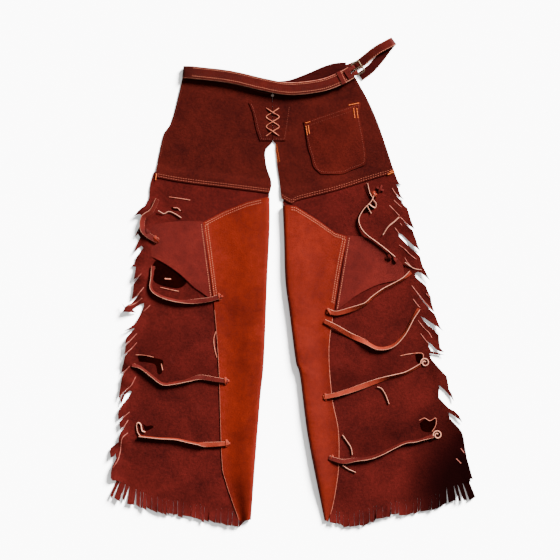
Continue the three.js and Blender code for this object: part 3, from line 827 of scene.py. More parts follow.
def build_front(finishes: Wardrobe) -> None:
    """Makes the patches, the lacing, the pocket, and their stitches."""
    patches = {
        "left": (((-98, 403), (-45, 403)), ((-45, 403), (-45, 318)), ((-45, 318), (-73, 318)),
                 ((-73, 318), (-82, 346), (-89, 380), (-98, 403))),
        "right": (((-44, 396), (-3, 396)), ((-3, 396), (-8, 360), (-15, 318)), ((-15, 318), (-44, 318)),
                  ((-44, 318), (-44, 396))),
    }
    for side, strokes in patches.items():
        outline = pattern(*strokes, step=0.003)
        patch = cut_sheet(f"{side}_patch_hide", outline, patch_height, PATCH_LEATHER, PATCH_SPACING)
        node = f"{side}_lacing_patch"
        finish_piece(patch, Body.CHAPS, (finishes.yoke, finishes.dull_edge), (node,))
        declare_laid(outline)

    def patch_face(x: float, y: float) -> float:
        return patch_height(x, y) + PATCH_FACE

    left = [(-93, 401), (-85, 380), (-77, 346), (-69, 321)]
    right = [(-7, 394), (-12, 360), (-18, 321)]
    feet = ([(-68, 321), (-50, 321)], [(-19, 321), (-39, 321)])
    rows = [on(patch_face, line) for line in (left, right, *feet)]
    sew("patch_stitches", rows, "suede_patch", finishes.dark_thread, pitch=0.0045, thick=0.001)
    outline = pattern(*POCKET, step=0.004)
    pocket = cut_sheet("pocket_hide", outline, pocket_height, PATCH_LEATHER, PATCH_SPACING)
    finish_piece(pocket, Body.CHAPS, (finishes.pocket, finishes.dull_edge), ("hip_pocket",))
    declare_laid(outline)

    def pocket_face(x: float, y: float) -> float:
        return pocket_height(x, y) + PATCH_FACE

    mouth = [(29, 357), (88, 377), (149, 398)]
    hem = [(31, 350), (88, 369), (148, 389)]
    around = [(28, 352), (39, 304), (46, 283), (52, 262), (66, 248), (110, 248), (133, 257), (158, 267),
              (161, 279), (160, 297), (154, 334), (147, 372), (149, 397)]
    sew("pocket_stitches", [on(pocket_face, line) for line in (mouth, around)], "suede_patch",
        finishes.dark_thread, pitch=0.0044, thick=0.001)
    sew("pocket_hem_stitches", [on(pocket_face, hem)], "suede_patch", finishes.dark_thread,
        pitch=0.0044, length=0.003, thick=0.0007)
    bars = [
        [(126, 397), (150, 402)], [(137, 391), (140, 368)], [(144, 391), (147, 368)],
        [(29, 357), (40, 360)], [(30, 351), (33, 330)], [(35, 352), (38, 333)],
    ]
    sew("pocket_tacks", [on(pocket_face, bar, 0.002) for bar in bars], "suede_patch", finishes.orange_thread,
        pitch=0.0032, thick=0.0024)
    ends = [([(-306, 243), (-308, 229)], LEFT_YOKE), ([(214, 241), (228, 247)], RIGHT_YOKE),
            ([(218, 247), (228, 251)], RIGHT_YOKE)]
    sew("seam_tacks", [on(yoke.face, bar, 0.002) for bar, yoke in ends], "suede_yoke", finishes.orange_thread,
        pitch=0.003, length=0.0036, thick=0.003)
    crotch = [[(-40, 309), (-33, 268)], [(-36, 310), (-29, 270)]]
    sew("crotch_stitches", [on(RIGHT_YOKE.face, line) for line in crotch], "suede_yoke",
        finishes.orange_thread, pitch=0.0042, length=0.0036)
    build_lacing(finishes)


def build_lacing(finishes: Wardrobe) -> None:
    """Two legs of one thong zigzag down the patches, each pass over the other at the middle."""
    rows = (391, 371, 349, 328)
    half, radius = 14.5, 0.0011
    for name, side, over in (("lower_lacing_thong", 1, 0.0021), ("upper_lacing_thong", -1, 0.0039)):
        route = []
        for i, y in enumerate(rows):
            x = FLY_X + (-side if i % 2 else side) * half
            if i:
                crossing = patch_height(-0.0446, y * MM) + over
                route.append((FLY_X * MM, (y + rows[i - 1]) / 2 * MM, crossing))
            route.append((x * MM, y * MM, patch_height(x * MM, y * MM) + radius))
        lace = tube(f"{name}_leg", smooth(route, 0.002), radius)
        finish_piece(lace, Body.CHAPS, (finishes.lace,), (name,))


# ---- Legs -----------------------------------------------------------------------------------

# The hem is slit into strips: where the whole hide ends and the strips start above the hem, and
# how wide the strips are.
HEM_CUT = 35
HEM_REACH = 0.036
STRIP_WIDTHS = (7.5, 9, 10, 11, 13, 16)
STRIP_MEAN = 0.0095


@dataclass(frozen=True)
class Leg:
    """One leg: its panel with fringe, the flap folded over it, and the lobe sewn to the flap.

    Outlines are in millimetres on the laid chaps, and out is the sign of x away from the crotch.
    The fringe stands up by stand metres at most. The fold is pressed flatter by pinch at the hem.
    Two reaches along hinge_way from a spot on the flap's hinge are worked out but not used, and the
    lobe's seam runs down to seam_end, a share of the fold.
    """

    name: str
    body: Body
    out: int
    fold: tuple[Point, ...]
    free: tuple[Point, ...]
    top_bow: tuple[Point, ...]
    side: tuple[Point, ...]
    hem: tuple[Point, ...]
    top: tuple[Point, ...]
    lobe: tuple[Point, ...]
    fringe: tuple[Point, ...]
    cuts: tuple[tuple[Point, ...], ...]
    stand: float
    pinch: float
    hinge_at: tuple[float, float, float]
    hinge_way: tuple[float, float, float]
    blend_reach: tuple[float, float]
    seam_end: float

    def lobe_middle(self, x: float, y: float) -> float:
        """The height of the lobe's middle, buckled a little."""
        return lie(x, y) + ON_PANEL + LEATHER / 2 + max(0.0, 0.0006 * ripple(x, y, 0.06, 5.0))

    def lobe_face(self, x: float, y: float) -> float:
        """The height of the lobe's face."""
        return self.lobe_middle(x, y) + LEATHER / 2

    def panel_outline(self) -> list[Point]:
        """The panel's cut edge with its fringe, without hem strips or fold."""
        raised = [(x, y + HEM_CUT) for x, y in self.hem]
        inner = [(x + self.out * 9, y) for x, y in self.fold]
        inner[-1] = (inner[-1][0], raised[-1][1])
        corner = [(inner[0][0], inner[0][1]), (self.fold[0][0] + self.out, self.fold[0][1] + 1)]
        corner += [(self.fold[0][0] + self.out, self.top[0][1])]
        teeth = list(zip(self.fringe, self.fringe[1:]))
        return pattern(
            self.top, *teeth, [self.fringe[-1], raised[0]], raised, [raised[-1], inner[-1]],
            list(reversed(inner)), corner[:2], corner[1:], [corner[2], self.top[0]],
        )

    def fringe_middle(self, x: float, y: float) -> float:
        """The height of the hide's middle, with its fringe curling up past the side."""
        levels = sorted((py * MM, px * MM) for px, py in self.side)
        past = self.out * (x - float(np.interp(y, [p[0] for p in levels], [p[1] for p in levels])))
        curl = max(0.0, 0.6 + 0.6 * ripple(x, y, 0.03, 6.0)) * ease(-0.012, 0.022, past)
        return lie(x, y) + LEATHER / 2 + self.stand * curl

    def hem_strips(self) -> list[list[list[Vector]]]:
        """The hem's short strips, of uneven widths, as rows of points."""
        hem = reading(self.hem)
        length = sum(math.dist(a, b) for a, b in zip(self.hem, self.hem[1:]))
        chance = random.Random(23 + self.out)
        cuts = [0.0]
        while cuts[-1] < length - 7:
            cuts.append(cuts[-1] + chance.choice(STRIP_WIDTHS) * chance.uniform(0.9, 1.1))
        cuts[-1] = length
        leans = [chance.uniform(-0.0022, 0.0022) for _ in cuts]
        bands = []
        for i, (first, last) in enumerate(zip(cuts, cuts[1:])):
            edge = 1 - (first + last) / 2 / length
            open_up = ease(0.8, 1.0, edge)
            splay = self.out * 0.016 * open_up
            reach = 0.0365 + chance.uniform(-0.004, 0.002)
            lift = chance.uniform(0.003, 0.0085) * (1 + 0.3 * open_up)
            cut = chance.uniform(-0.0025, 0.0025)
            gap = 0.0002 + 0.0011 * open_up + chance.choice((0, 0, 0.0004))
            rows = []
            for j in range(6):
                t = j / 5
                row = []
                middle, between = (first + last) / 2, (leans[i] + leans[i + 1]) / 2
                for k, spot, lean in ((-1, first, leans[i]), (0, middle, between), (1, last, leans[i + 1])):
                    x, y = hem(spot / length)
                    px = x + (lean + splay) * t + k * gap * (0.4 + 0.6 * t) * self.out
                    py = y + HEM_REACH - reach * t + k * cut * t
                    tilt = k * 0.0006 * t * (1 if i % 2 else -1)
                    height = lie(px, py) + 0.00095 + lift * t * t + max(0, tilt)
                    row.append(Vector((px, py, height)))
                rows.append(row)
            bands.append(rows)
        return bands

    def build_panel(self, finishes: Wardrobe) -> None:
        """Makes the panel with its fringe and hem."""
        outline = self.panel_outline()
        hide = cut_sheet(f"{self.name}_panel_hide", outline, self.fringe_middle, LEATHER, 0.0085)
        hem = strips(f"{self.name}_hem", self.hem_strips(), 0.0018)
        for part in (hide, hem):
            part.data.materials.append(finishes.panel)
            part.data.materials.append(finishes.edge_dark)
        hide = join(f"{self.name}_panel_hide", [hide, hem])
        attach(hide, Body.CHAPS.value)
        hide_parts(f"{self.name}_leg_panel")
        area = area_of(outline) + STRIP_MEAN * HEM_CUT * MM * len(self.hem_strips())
        up = Vector((0, 0, LEATHER / 2))
        lines = [[at + up for at in on(self.fringe_middle, cut)] for cut in self.cuts]
        edges = join(f"{self.name}_fringe_cut_edges", [tube("cut", line, 0.0008) for line in lines])
        finish_piece(edges, Body.CHAPS, (finishes.fringe_line,))

    def radius(self, v: float) -> float:
        """The fold's radius down the leg: uneven, and pressed flatter at the hem."""
        flatter = 1 - self.pinch * ease(0.86, 1.0, v)
        return FOLD_RADIUS * (1 + 0.05 * ripple(v, 0.3, 0.09, 2.0)) * flatter

    def slope(self, v: float, s: float) -> tuple[float, float, float]:
        """The flap's middle, v down from the waist and s across from the fold to its free edge."""
        fx, fy = reading(self.fold)(v)
        ex, ey = reading(self.free)(v)
        radius = self.radius(v)
        start = fx + self.out * (radius + LEATHER / 2)
        bow = float(np.interp(s, [p[0] for p in self.top_bow], [p[1] * MM for p in self.top_bow]))
        x = start + (ex - start) * s
        y = fy + (ey - fy) * s + bow * (1 - ease(0, 0.07, v))
        low, top = ON_PANEL + LEATHER / 2, LEATHER / 2 + 2 * radius
        height = low + (top - low) * (1 - s * s) ** 3 + lie(x, y)
        wave = ripple(x, y, 0.05, 4.0) + 0.6 * ripple(x, y * 0.5, 0.022, 9.0)
        crease = math.exp(-(((y + 0.104 + 0.02 * (s - 0.5)) / 0.0025) ** 2)) * 0.0007
        height += max(-0.0002, 0.0007 * wave * ease(0.02, 0.3, s) * (1 - 0.7 * s)) - crease * (1 - s)
        return x, y, height

    def build_flap(self, finishes: Wardrobe) -> None:
        """Makes the hide that turns up at the inner leg and lies over the panel."""
        fold = reading(self.fold)
        rows, lip, bend, slope = 150, 2, 16, 26
        points, faces = [], []
        for j in range(rows + 1):
            v = j / rows
            fx, fy = fold(v)
            radius = self.radius(v)
            start = fx + self.out * (radius + LEATHER / 2)
            lip_edge = fx + self.out * (FOLD_OUTSIDE + 0.001)
            for i in range(lip):
                x = lip_edge + (start - lip_edge) * i / lip
                points.append((x, fy, lie(start, fy) + LEATHER / 2))
            for i in range(bend + 1):
                turn = math.pi * i / bend
                x = start - self.out * radius * math.sin(turn)
                height = LEATHER / 2 + radius * (1 - math.cos(turn))
                points.append((x, fy, lie(start, fy) * (1 - 0.5 * math.sin(turn)) + height))
            points.extend(self.slope(v, i / slope) for i in range(1, slope + 1))
        wide = lip + bend + 1 + slope
        for j in range(rows):
            for i in range(wide - 1):
                a = j * wide + i
                face = (a, a + wide, a + wide + 1, a + 1)
                faces.append(face if self.out < 0 else tuple(reversed(face)))
        flap = mesh_piece(f"{self.name}_flap_hide", points, faces)
        thicken(flap, LEATHER)
        flap.data.materials.append(finishes.flap)
        flap.data.materials.append(finishes.edge_mid)
        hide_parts(f"{self.name}_leg_flap")
        place, way = Vector(self.hinge_at), Vector(self.hinge_way)
        start, end = (place + way * reach / way.length_squared for reach in self.blend_reach)
        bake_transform(flap)

    def build_lobe(self, finishes: Wardrobe) -> None:
        """Makes the lobe beside the flap."""
        outline = pattern(self.lobe, [self.lobe[-1], self.lobe[0]], step=0.004)
        hide = cut_sheet(f"{self.name}_lobe_hide", outline, self.lobe_middle, LEATHER, 0.007)
        node = f"{self.name}_thigh_lobe"
        finish_piece(hide, self.body, (finishes.lobe, finishes.edge_mid), (node,))
        declare_laid(outline)

    def build_seams(self, finishes: Wardrobe) -> None:
        """Makes the flap's stitches: its top hem, and the seam that joins the lobe."""

        def along(spots: Sequence[tuple[float, float]]) -> list[Vector]:
            return [Vector(self.slope(v, s)) + Vector((0, 0, LEATHER / 2)) for v, s in spots]

        hem = [along([(v, s / 40) for s in range(3, 40)]) for v in (0.0055, 0.0125)]
        seam_top, steps = 0.012, 60
        down = [seam_top + (self.seam_end - seam_top) * i / steps for i in range(steps + 1)]
        seam = [along([(v, s) for v in down]) for s in (0.975, 0.935)]
        size = {"pitch": 0.005, "length": 0.0038, "thick": 0.0012}
        sew(f"{self.name}_flap_stitches", [*hem, *seam], "grain_flap", finishes.thread, self.body, **size)
        bare = along([(0.29 + 0.7 * i / 120, 0.9985) for i in range(121)])
        edge = tube(f"{self.name}_flap_cut_edge", [at - Vector((0, 0, 0.0004)) for at in bare], 0.0005)
        finish_piece(edge, self.body, (finishes.edge_mid,))
        (ax, ay), (bx, by) = self.lobe[0], self.lobe[-1]
        line = [(ax + self.out * 4, ay - 5), (bx + self.out * 4, by + 5)]
        rows = [on(self.lobe_face, line)]
        sew(f"{self.name}_lobe_stitches", rows, "lobe_leather", finishes.thread, self.body, **size)

    def build(self, finishes: Wardrobe) -> None:
        """Makes the whole leg."""
        self.build_panel(finishes)
        self.build_flap(finishes)
        self.build_lobe(finishes)
        self.build_seams(finishes)


LEFT_LEG = Leg(
    "left", Body.LEFT, -1,
    ((-51, 190), (-51, 122), (-56, 18), (-64, -176), (-72, -259), (-84, -410), (-93, -534)),
    ((-201, 134), (-180, -18), (-171, -108), (-165, -207), (-159, -394), (-150, -448), (-118, -541)),
    ((0, 0), (0.3, 7), (0.66, 7), (1, 0)),
    (
        (-311, 248), (-321, 207), (-319, 150), (-316, 50), (-325, -40), (-345, -142), (-356, -220),
        (-362, -333), (-380, -412), (-388, -444),
    ),
    ((-396, -481), (-325, -511), (-253, -526), (-174, -542), (-123, -550), (-104, -536)),
    ((-61, 210), (-213, 232), (-311, 248)),
    (
        (-201, 136), (-246, 137), (-307, 130), (-321, 115), (-332, 74), (-323, 61), (-289, 43),
        (-253, 18), (-222, -11), (-206, -22), (-179, -42),
    ),
    (
        (-311, 248), (-318, 226), (-321, 210), (-322, 190), (-326, 180), (-331, 171), (-340, 166),
        (-348, 158), (-357, 147), (-349, 151), (-342, 153), (-337, 147), (-331, 153), (-326, 155),
        (-333, 138), (-344, 124), (-350, 112), (-354, 102), (-347, 108), (-342, 100), (-346, 92),
        (-350, 84), (-355, 67), (-348, 74), (-340, 82), (-335, 77), (-344, 64), (-351, 56), (-354, 44),
        (-361, 36), (-352, 34), (-352, 28), (-354, 18), (-357, 5), (-348, 11), (-339, 19), (-347, 8),
        (-357, -4), (-358, -20), (-361, -38), (-352, -32), (-336, -14), (-350, -35), (-362, -48),
        (-370, -51), (-376, -56), (-383, -48), (-377, -58), (-381, -67), (-370, -67), (-352, -69),
        (-360, -62), (-352, -56), (-342, -50), (-334, -47), (-334, -54), (-338, -64), (-342, -74),
        (-350, -88), (-358, -97), (-368, -104), (-378, -110), (-366, -107), (-355, -103), (-357, -108),
        (-366, -117), (-373, -125), (-376, -139), (-366, -132), (-352, -118), (-365, -134), (-375, -144),
        (-376, -155), (-379, -163), (-366, -152), (-352, -138), (-366, -155), (-376, -166), (-379, -180),
        (-382, -190), (-385, -204), (-377, -199), (-368, -190), (-378, -203), (-383, -215), (-386, -232),
        (-389, -250), (-390, -263), (-382, -248), (-370, -238), (-360, -222), (-371, -241), (-381, -252),
        (-386, -265), (-385, -276), (-380, -262), (-376, -252), (-366, -244), (-361, -245), (-366, -256),
        (-376, -268), (-383, -277), (-388, -285), (-392, -297), (-391, -309), (-382, -303), (-368, -293),
        (-381, -307), (-390, -316), (-386, -331), (-378, -322), (-370, -311), (-377, -326), (-386, -338),
        (-390, -350), (-391, -360), (-400, -366), (-408, -372), (-410, -382), (-408, -394), (-400, -390),
        (-397, -384), (-395, -396), (-404, -413), (-407, -425), (-408, -440), (-404, -446),
    ),
    (
        ((-339, 19), (-348, 10), (-356, 1)), ((-334, -12), (-350, -31), (-360, -38)),
        ((-338, -36), (-350, -46), (-360, -51), (-372, -54)), ((-320, -52), (-328, -60), (-335, -66)),
        ((-350, -116), (-362, -129), (-374, -141)), ((-350, -136), (-362, -150), (-376, -162)),
        ((-366, -189), (-376, -200), (-384, -207)),
        ((-352, -212), (-362, -232), (-372, -241), (-384, -252), (-388, -264)),
        ((-366, -292), (-380, -304), (-389, -311)), ((-369, -310), (-378, -324), (-385, -333)),
        ((-370, -339), (-383, -352), (-387, -380), (-392, -400), (-403, -416)),
    ),
    0.009, 0.2, (-0.064, -0.176, 0), (-0.12, 0.0072, 1), (0.0028, 0.007), 0.255,
)
RIGHT_LEG = Leg(
    "right", Body.RIGHT, 1,
    ((-22, 172), (-19, 99), (-16, 4), (-6, -74), (7, -176), (17, -212), (35, -349), (72, -536)),
    (
        (124, 103), (107, 20), (93, -65), (82, -153), (89, -259), (103, -333), (104, -410), (98, -462),
        (90, -505), (80, -539),
    ),
    ((0, 0), (0.15, 9), (0.5, 3), (0.8, -6), (1, 0)),
    (
        (226, 258), (229, 200), (236, 112), (262, 22), (283, -76), (298, -153), (322, -236), (342, -297),
        (366, -360), (386, -425), (391, -449),
    ),
    ((398, -484), (343, -498), (307, -514), (213, -527), (160, -546), (116, -549), (84, -538)),
    ((-9, 190), (12, 196), (98, 218), (168, 240), (226, 258)),
    (
        (124, 105), (161, 101), (192, 90), (234, 54), (248, 36), (246, 9), (192, -6), (149, -27),
        (117, -50), (97, -66),
    ),
    (
        (226, 258), (232, 240), (236, 230), (240, 222), (245, 218), (232, 220), (238, 211), (241, 200),
        (245, 192), (251, 185), (240, 191), (233, 199), (222, 214), (230, 200), (236, 190), (244, 184),
        (250, 173), (258, 166), (262, 155), (265, 143), (269, 132), (274, 119), (262, 127), (252, 137),
        (243, 146), (251, 134), (262, 123), (270, 116), (274, 106), (279, 92), (281, 84), (287, 70),
        (272, 82), (258, 95), (246, 107), (237, 112), (240, 103), (247, 95), (258, 84), (272, 71),
        (282, 62), (287, 57), (290, 45), (293, 35), (299, 24), (303, 15), (309, 4), (297, 14), (288, 21),
        (282, 23), (275, 19), (278, 10), (290, 0), (300, -9), (305, -22), (311, -34), (312, -44),
        (315, -55), (319, -68), (310, -59), (290, -36), (268, -8), (289, -38), (308, -62), (320, -72),
        (324, -82), (328, -93), (333, -103), (339, -110), (326, -101), (310, -90), (298, -82), (289, -77),
        (295, -88), (306, -98), (318, -108), (329, -120), (330, -134), (332, -148), (341, -158),
        (330, -156), (322, -150), (312, -139), (303, -133), (307, -146), (312, -155), (325, -159),
        (342, -164), (325, -163), (307, -160), (311, -172), (320, -183), (330, -194), (341, -206),
        (347, -212), (350, -228), (352, -242), (358, -251), (363, -268), (354, -256), (342, -243),
        (330, -232), (329, -248), (329, -260), (340, -272), (352, -284), (364, -290), (374, -299),
        (382, -316), (370, -306), (358, -297), (350, -294), (353, -306), (364, -318), (374, -328),
        (381, -338), (385, -352), (388, -372), (392, -395), (398, -415), (402, -430), (406, -444),
        (400, -442), (399, -449),
    ),
    (
        ((224, 211), (232, 198), (240, 190)), ((218, 172), (229, 161), (240, 149)),
        ((242, 146), (252, 136), (262, 125)), ((228, 184), (236, 176), (245, 168)),
        ((230, 122), (236, 114), (240, 108)), ((242, 132), (246, 127)),
        ((240, 83), (252, 74), (264, 62), (278, 51)), ((252, 55), (259, 43), (264, 37)),
        ((268, -8), (290, -36), (316, -66)), ((271, -38), (279, -49), (286, -57)),
        ((300, -26), (311, -37)), ((282, -86), (296, -104), (306, -113), (313, -125)),
        ((288, -116), (300, -132), (307, -140)), ((378, -374), (386, -384)), ((368, -397), (379, -408)),
    ),
    0.005, 0.55, (-0.016, 0.004, 0), (0.12, 0.0152, 1), (0.0042, 0.0087), 0.24,
)


# ---- Belt and buckle ------------------------------------------------------------------------

BELT_WIDTH = 0.027
BELT_MIDDLE = 0.0126
BAND_MIDDLE = ON_PANEL + 0.0015
BUCKLE_TURN = math.radians(33)
BAR_SPOT = Vector((0.13939, 0.47545, BELT_MIDDLE))


def at_height(line: Sequence[Point], height: float, step: float = 0.004) -> list[Vector]:
    """A line of millimetre points at one height in metres."""
    return smooth([(x * MM, y * MM, height) for x, y in line], step)


def beside(line: Sequence[Vector], out: float, rise: float, side: Vector | None = None) -> list[Vector]:
    """A line moved sideways and up, for stitches on a strap."""
    moved = []
    for i, at in enumerate(line):
        along = (line[min(len(line) - 1, i + 1)] - line[max(0, i - 1)]).normalized()
        level = Vector((-along.y, along.x, 0)).normalized() if side is None else side.normalized()
        up = Vector((0, 0, 1)) if side is None else along.cross(level).normalized()
        moved.append(at + level * out + up * rise)
    return moved


def from_buckle(x: float, y: float, z: float) -> Vector:
    """A point of the buckle's own frame, in millimetres along the strap, across it and up."""
    turned = Vector((x * math.cos(BUCKLE_TURN) - y * math.sin(BUCKLE_TURN),
                     x * math.sin(BUCKLE_TURN) + y * math.cos(BUCKLE_TURN), z))
    return BAR_SPOT + turned * MM


FRONT_RUN = ((-225, 471), (-141, 461), (-62, 443), (-6, 434), (62, 441), (105, 456), (131, 470))


def build_belt(finishes: Wardrobe) -> None:
    """Makes the waistbands, the belt's front run with its turn, and the stitches."""
    bands = {
        "left_waistband": ((-46, 438), (-62, 438), (-100, 449), (-150, 461), (-205, 468)),
        "right_waistband": ((-43, 438), (-27, 438), (0, 442), (40, 457), (75, 472), (100, 479), (121, 480)),
    }
    section, kinds = strap_section(BELT_WIDTH, 0.003)
    for name, line in bands.items():
        band = ribbon(f"{name}_strap", at_height(line, BAND_MIDDLE), section, kinds)
        mats = (finishes.flesh, finishes.dull_edge, finishes.flesh)
        finish_piece(band, Body.CHAPS, mats, (name,))
    low = ON_PANEL + 0.002
    radius = (BELT_MIDDLE - low) / 2
    turn_x, turn_y = -0.240, 0.4715
    turn = [Vector((turn_x - math.sin(a) * radius, turn_y, low + radius - math.cos(a) * radius))
            for a in np.linspace(0, math.pi, 13)]
    front = at_height(FRONT_RUN, BELT_MIDDLE)
    under = [Vector((x, y, low)) for x, y in ((-0.2056, 0.468), (-0.215, 0.469), (-0.225, 0.4702))]
    line = [*under, *turn, *front]
    section, kinds = strap_section(BELT_WIDTH, 0.004)
    section = [(x, z + 0.0004 * math.copysign(1, z)) for x, z in section]
    belt = ribbon("belt_front_strap", line, section, kinds, across=lambda share: Vector((0.09, 1, 0)))
    curve_sides(belt)
    mats = (finishes.belt, finishes.edge_mid, finishes.flesh)
    finish_piece(belt, Body.CHAPS, mats, ("belt_front_run",))
    rows = [beside(front, out, 0.0026) for out in (0.0092, -0.0086)]
    sew("belt_stitches", rows, "belt_leather", finishes.thread, length=0.0036)
    edge = ribbon("belt_lower_piping", beside(front, -0.0136, 0.0002), *strap_section(0.0014, 0.0024))
    finish_piece(edge, Body.CHAPS, (finishes.edge, finishes.edge, finishes.edge))


def curve_sides(thing: bpy.types.Object) -> None:
    """Rounds a strap's long edges a little."""
    pick(thing)
    soft = thing.modifiers.new("round", "BEVEL")
    soft.width = 0.0004
    soft.segments = 2
    soft.limit_method = "ANGLE"
    bpy.ops.object.modifier_apply(modifier=soft.name)
    smooth_faces(thing, 45)


def build_eyelet(finishes: Wardrobe) -> None:
    """Makes the small pale ring where the yoke halves meet under the belt, coloured near-white as painted
    light so that it shows bright in the belt's shade.
    """
    bpy.ops.mesh.primitive_torus_add(
        location=(-0.0446, 0.4195, ON_PANEL + 0.0005), major_radius=0.0021, minor_radius=0.0011,
        major_segments=20, minor_segments=8,
    )
    ring = bpy.context.object
    bpy.ops.object.transform_apply(location=True)
    ring.name = "fly_eyelet"
    smooth_faces(ring, 60)
    finish_piece(ring, Body.CHAPS, (finishes.ivory,))


def build_tail(finishes: Wardrobe) -> None:
    """Makes the belt's tail: on from the right waistband, under the buckle, a loop and back."""
    rest = 1.8
    spots = ((121.6, 478.2, 3.8), (138, 485, 3.9), (152, 492, 5), (187, 519, 12), (212, 533, 13.5),
             (223, 539, 12.4), (227, 541, 8), (223, 537, 3.6), (213, 525, rest), (196, 502, rest),
             (176, 480, rest), (152, 462, rest))
    line = smooth([tuple(c * MM for c in spot) for spot in spots], 0.003)
    section, kinds = strap_section(0.0195, 0.003)
    first, second = Vector((-0.32, 0.95, 0)), Vector((-0.57, 0.82, 0))
    strap = ribbon("belt_tail_strap", line, section, kinds,
                   across=lambda share: first.lerp(second, ease(0, 0.2, share)))
    curve_sides(strap)
    mats = (finishes.belt, finishes.edge_mid, finishes.flesh)
    finish_piece(strap, Body.CHAPS, mats, ("belt_tail",))
    upper = [p for p in line if p.x > 0.16][: int(len(line) * 0.34)]
    rows = [beside(upper, out, 0.0017, second) for out in (0.0085, -0.0085)]
    sew("tail_stitches", rows, "belt_leather", finishes.thread, length=0.0036, thick=0.001)


def build_buckle(finishes: Wardrobe) -> None:
    """Makes the frame, the prong, the chape round the bar, and the keeper."""
    deep, half_width, corner = 18, 13.5, 2.6
    far, high = deep - corner, half_width - corner
    loop = []
    for cx, cy, start in ((far, high, 0), (corner, high, 90), (corner, -high, 180), (far, -high, 270)):
        for step in range(6):
            angle = math.radians(start + step * 18)
            loop.append(from_buckle(cx + corner * math.cos(angle), cy + corner * math.sin(angle), 0))
    ring = tube("buckle_loop", loop, 0.0017, True)
    finish_piece(ring, Body.BUCKLE, (finishes.metal,), ("buckle_frame",))
    eye = [from_buckle(3 * math.cos(a), 0, 3 * math.sin(a)) for a in np.linspace(0, 2 * math.pi, 17)[:-1]]
    rod = [from_buckle(x, 0, 3 - 0.01 * x) for x in np.linspace(1, 20.5, 8)]
    prong = join("buckle_tongue", [tube("tongue_eye", eye, 0.0011, True), tube("tongue_rod", rod, 0.0012)])
    finish_piece(prong, Body.PRONG, (finishes.metal,), ("buckle_prong",))
    wrap = 3.55
    path = [(-22, wrap), (-16, wrap), (-11.5, wrap), (-6, wrap)]
    path += [(wrap * math.cos(a), wrap * math.sin(a)) for a in np.linspace(math.pi / 2, -math.pi / 2, 11)]
    path += [(-6, -wrap), (-11.5, -wrap), (-16, -wrap), (-22, -wrap)]
    across = from_buckle(0, 1, 0) - from_buckle(0, 0, 0)
    parts = []
    for shift in (-6.8, 6.8):
        line = [from_buckle(x, shift, z) for x, z in path]
        parts.append(ribbon("chape_tab", line, *strap_section(0.0084, 0.0022), across=lambda share: across))
    for height in (wrap, -wrap):
        line = [from_buckle(x, 0, height) for x in (-22, -17, -11.5)]
        parts.append(ribbon("chape_root", line, *strap_section(0.0056, 0.0022), across=lambda share: across))
    chape = join("chape_strap", parts)
    mats = (finishes.strap, finishes.edge_mid, finishes.flesh)
    finish_piece(chape, Body.CHAPS, mats, ("buckle_chape",))
    front = at_height(FRONT_RUN, BELT_MIDDLE)
    spot = int(len(front) * 0.925)
    at = front[spot]
    along = (front[spot + 1] - at).normalized()
    level = Vector((-along.y, along.x, 0))
    half, high = 0.0148, 0.0034
    corners = [(0, -1), (1, -1), (1, 0), (1, 1), (0, 1), (-1, 1), (-1, 0), (-1, -1), (0, -1)]
    loop = [at + level * half * a + Vector((0, 0, high * b)) for a, b in corners]
    keeper = ribbon("keeper_strap", loop, *strap_section(0.010, 0.0017), across=lambda share: along)
    finish_piece(keeper, Body.CHAPS, mats, ("belt_keeper",))


# ---- Ties, knots and thongs -----------------------------------------------------------------

# Heights of a strap's middle in millimetres: on the panel, on the flap, on the lobe, and a thong's.
P, F, B, T = 4.0, 7.9, 6.3, 3.7
THONG_WIDTH = 6
Route = tuple[tuple[float, float, float], ...]
Turns = tuple[tuple[float, float], ...]
EDGE_UP: Turns = ((0, 6), (0.22, 12), (0.42, 62), (0.9, 58), (1, 25))
EDGE_DOWN: Turns = ((0, -4), (0.14, -12), (0.3, -58), (0.9, -62), (1, -30))
STAND: Turns = ((0, 50), (1, 70))


def thong(name: str, body: Body, route: Route, in_frame: bool = True) -> "Tie":
    """A thin thong that stands on its edge."""
    return Tie(name, body, route, 3.2, 1.2, STAND, far_end="bare", in_frame=in_frame)


def run_of(line: Sequence[Vector]) -> float:
    """The length of a line."""
    return sum((b - a).length for a, b in zip(line, line[1:]))


def level_width(share: float) -> float:
    """The width of a thong: the same all the way."""
    return 1.0


def taper(share: float) -> float:
    """The width of a tie: widest before its middle, narrower at its ends."""
    return 0.78 + 0.22 * math.sin(math.pi * min(1, share * 1.4))


@dataclass(frozen=True)
class Tie:
    """A leather tie or thong: its route, the width of its strap, and how it rolls along it."""

    name: str
    body: Body
    route: Route
    width: float = 11.5
    thick: float = 1.5
    turns: Turns = EDGE_UP
    # bright picks the painted-light copy of the tie leather; otherwise the painted-shade copy.
    bright: bool = False
    far_end: str = "object"
    in_frame: bool = True

    def line(self) -> list[Vector]:
        """Its middle line, raised where it stands on its edge."""
        raised = []
        rough = smooth([tuple(c * MM for c in spot) for spot in self.route], 0.003)
        for i, at in enumerate(rough):
            share = i / (len(rough) - 1)
            tilt = abs(math.sin(self.roll(share)))
            up = tilt * (self.width - self.thick) / 2 * MM * 0.82 + lie(at.x, at.y)
            raised.append(at + Vector((0, 0, up)))
        return raised

    def roll(self, share: float) -> float:
        """Its roll in radians at a share of its length."""
        turned = np.interp(share, [t[0] for t in self.turns], [t[1] for t in self.turns])
        return math.radians(float(turned))

    def build(self, finishes: Wardrobe, with_pieces: Sequence[bpy.types.Object] = ()) -> None:
        line = self.line()
        section, kinds = strap_section(self.width * MM, self.thick * MM)
        thin = self.width < THONG_WIDTH
        strap = ribbon(f"{self.name}_strap", line, section, kinds, self.roll, level_width if thin else taper)
        # Thongs show their cut edge; ties take the painted-light or the painted-shade copy of their leather.
        face = finishes.edge if thin else (finishes.orange if self.bright else finishes.strap)
        mats = (face, finishes.edge, finishes.flesh)
        finish_piece(strap, self.body, mats, (self.name,) if self.in_frame else ())
        run_of(line)


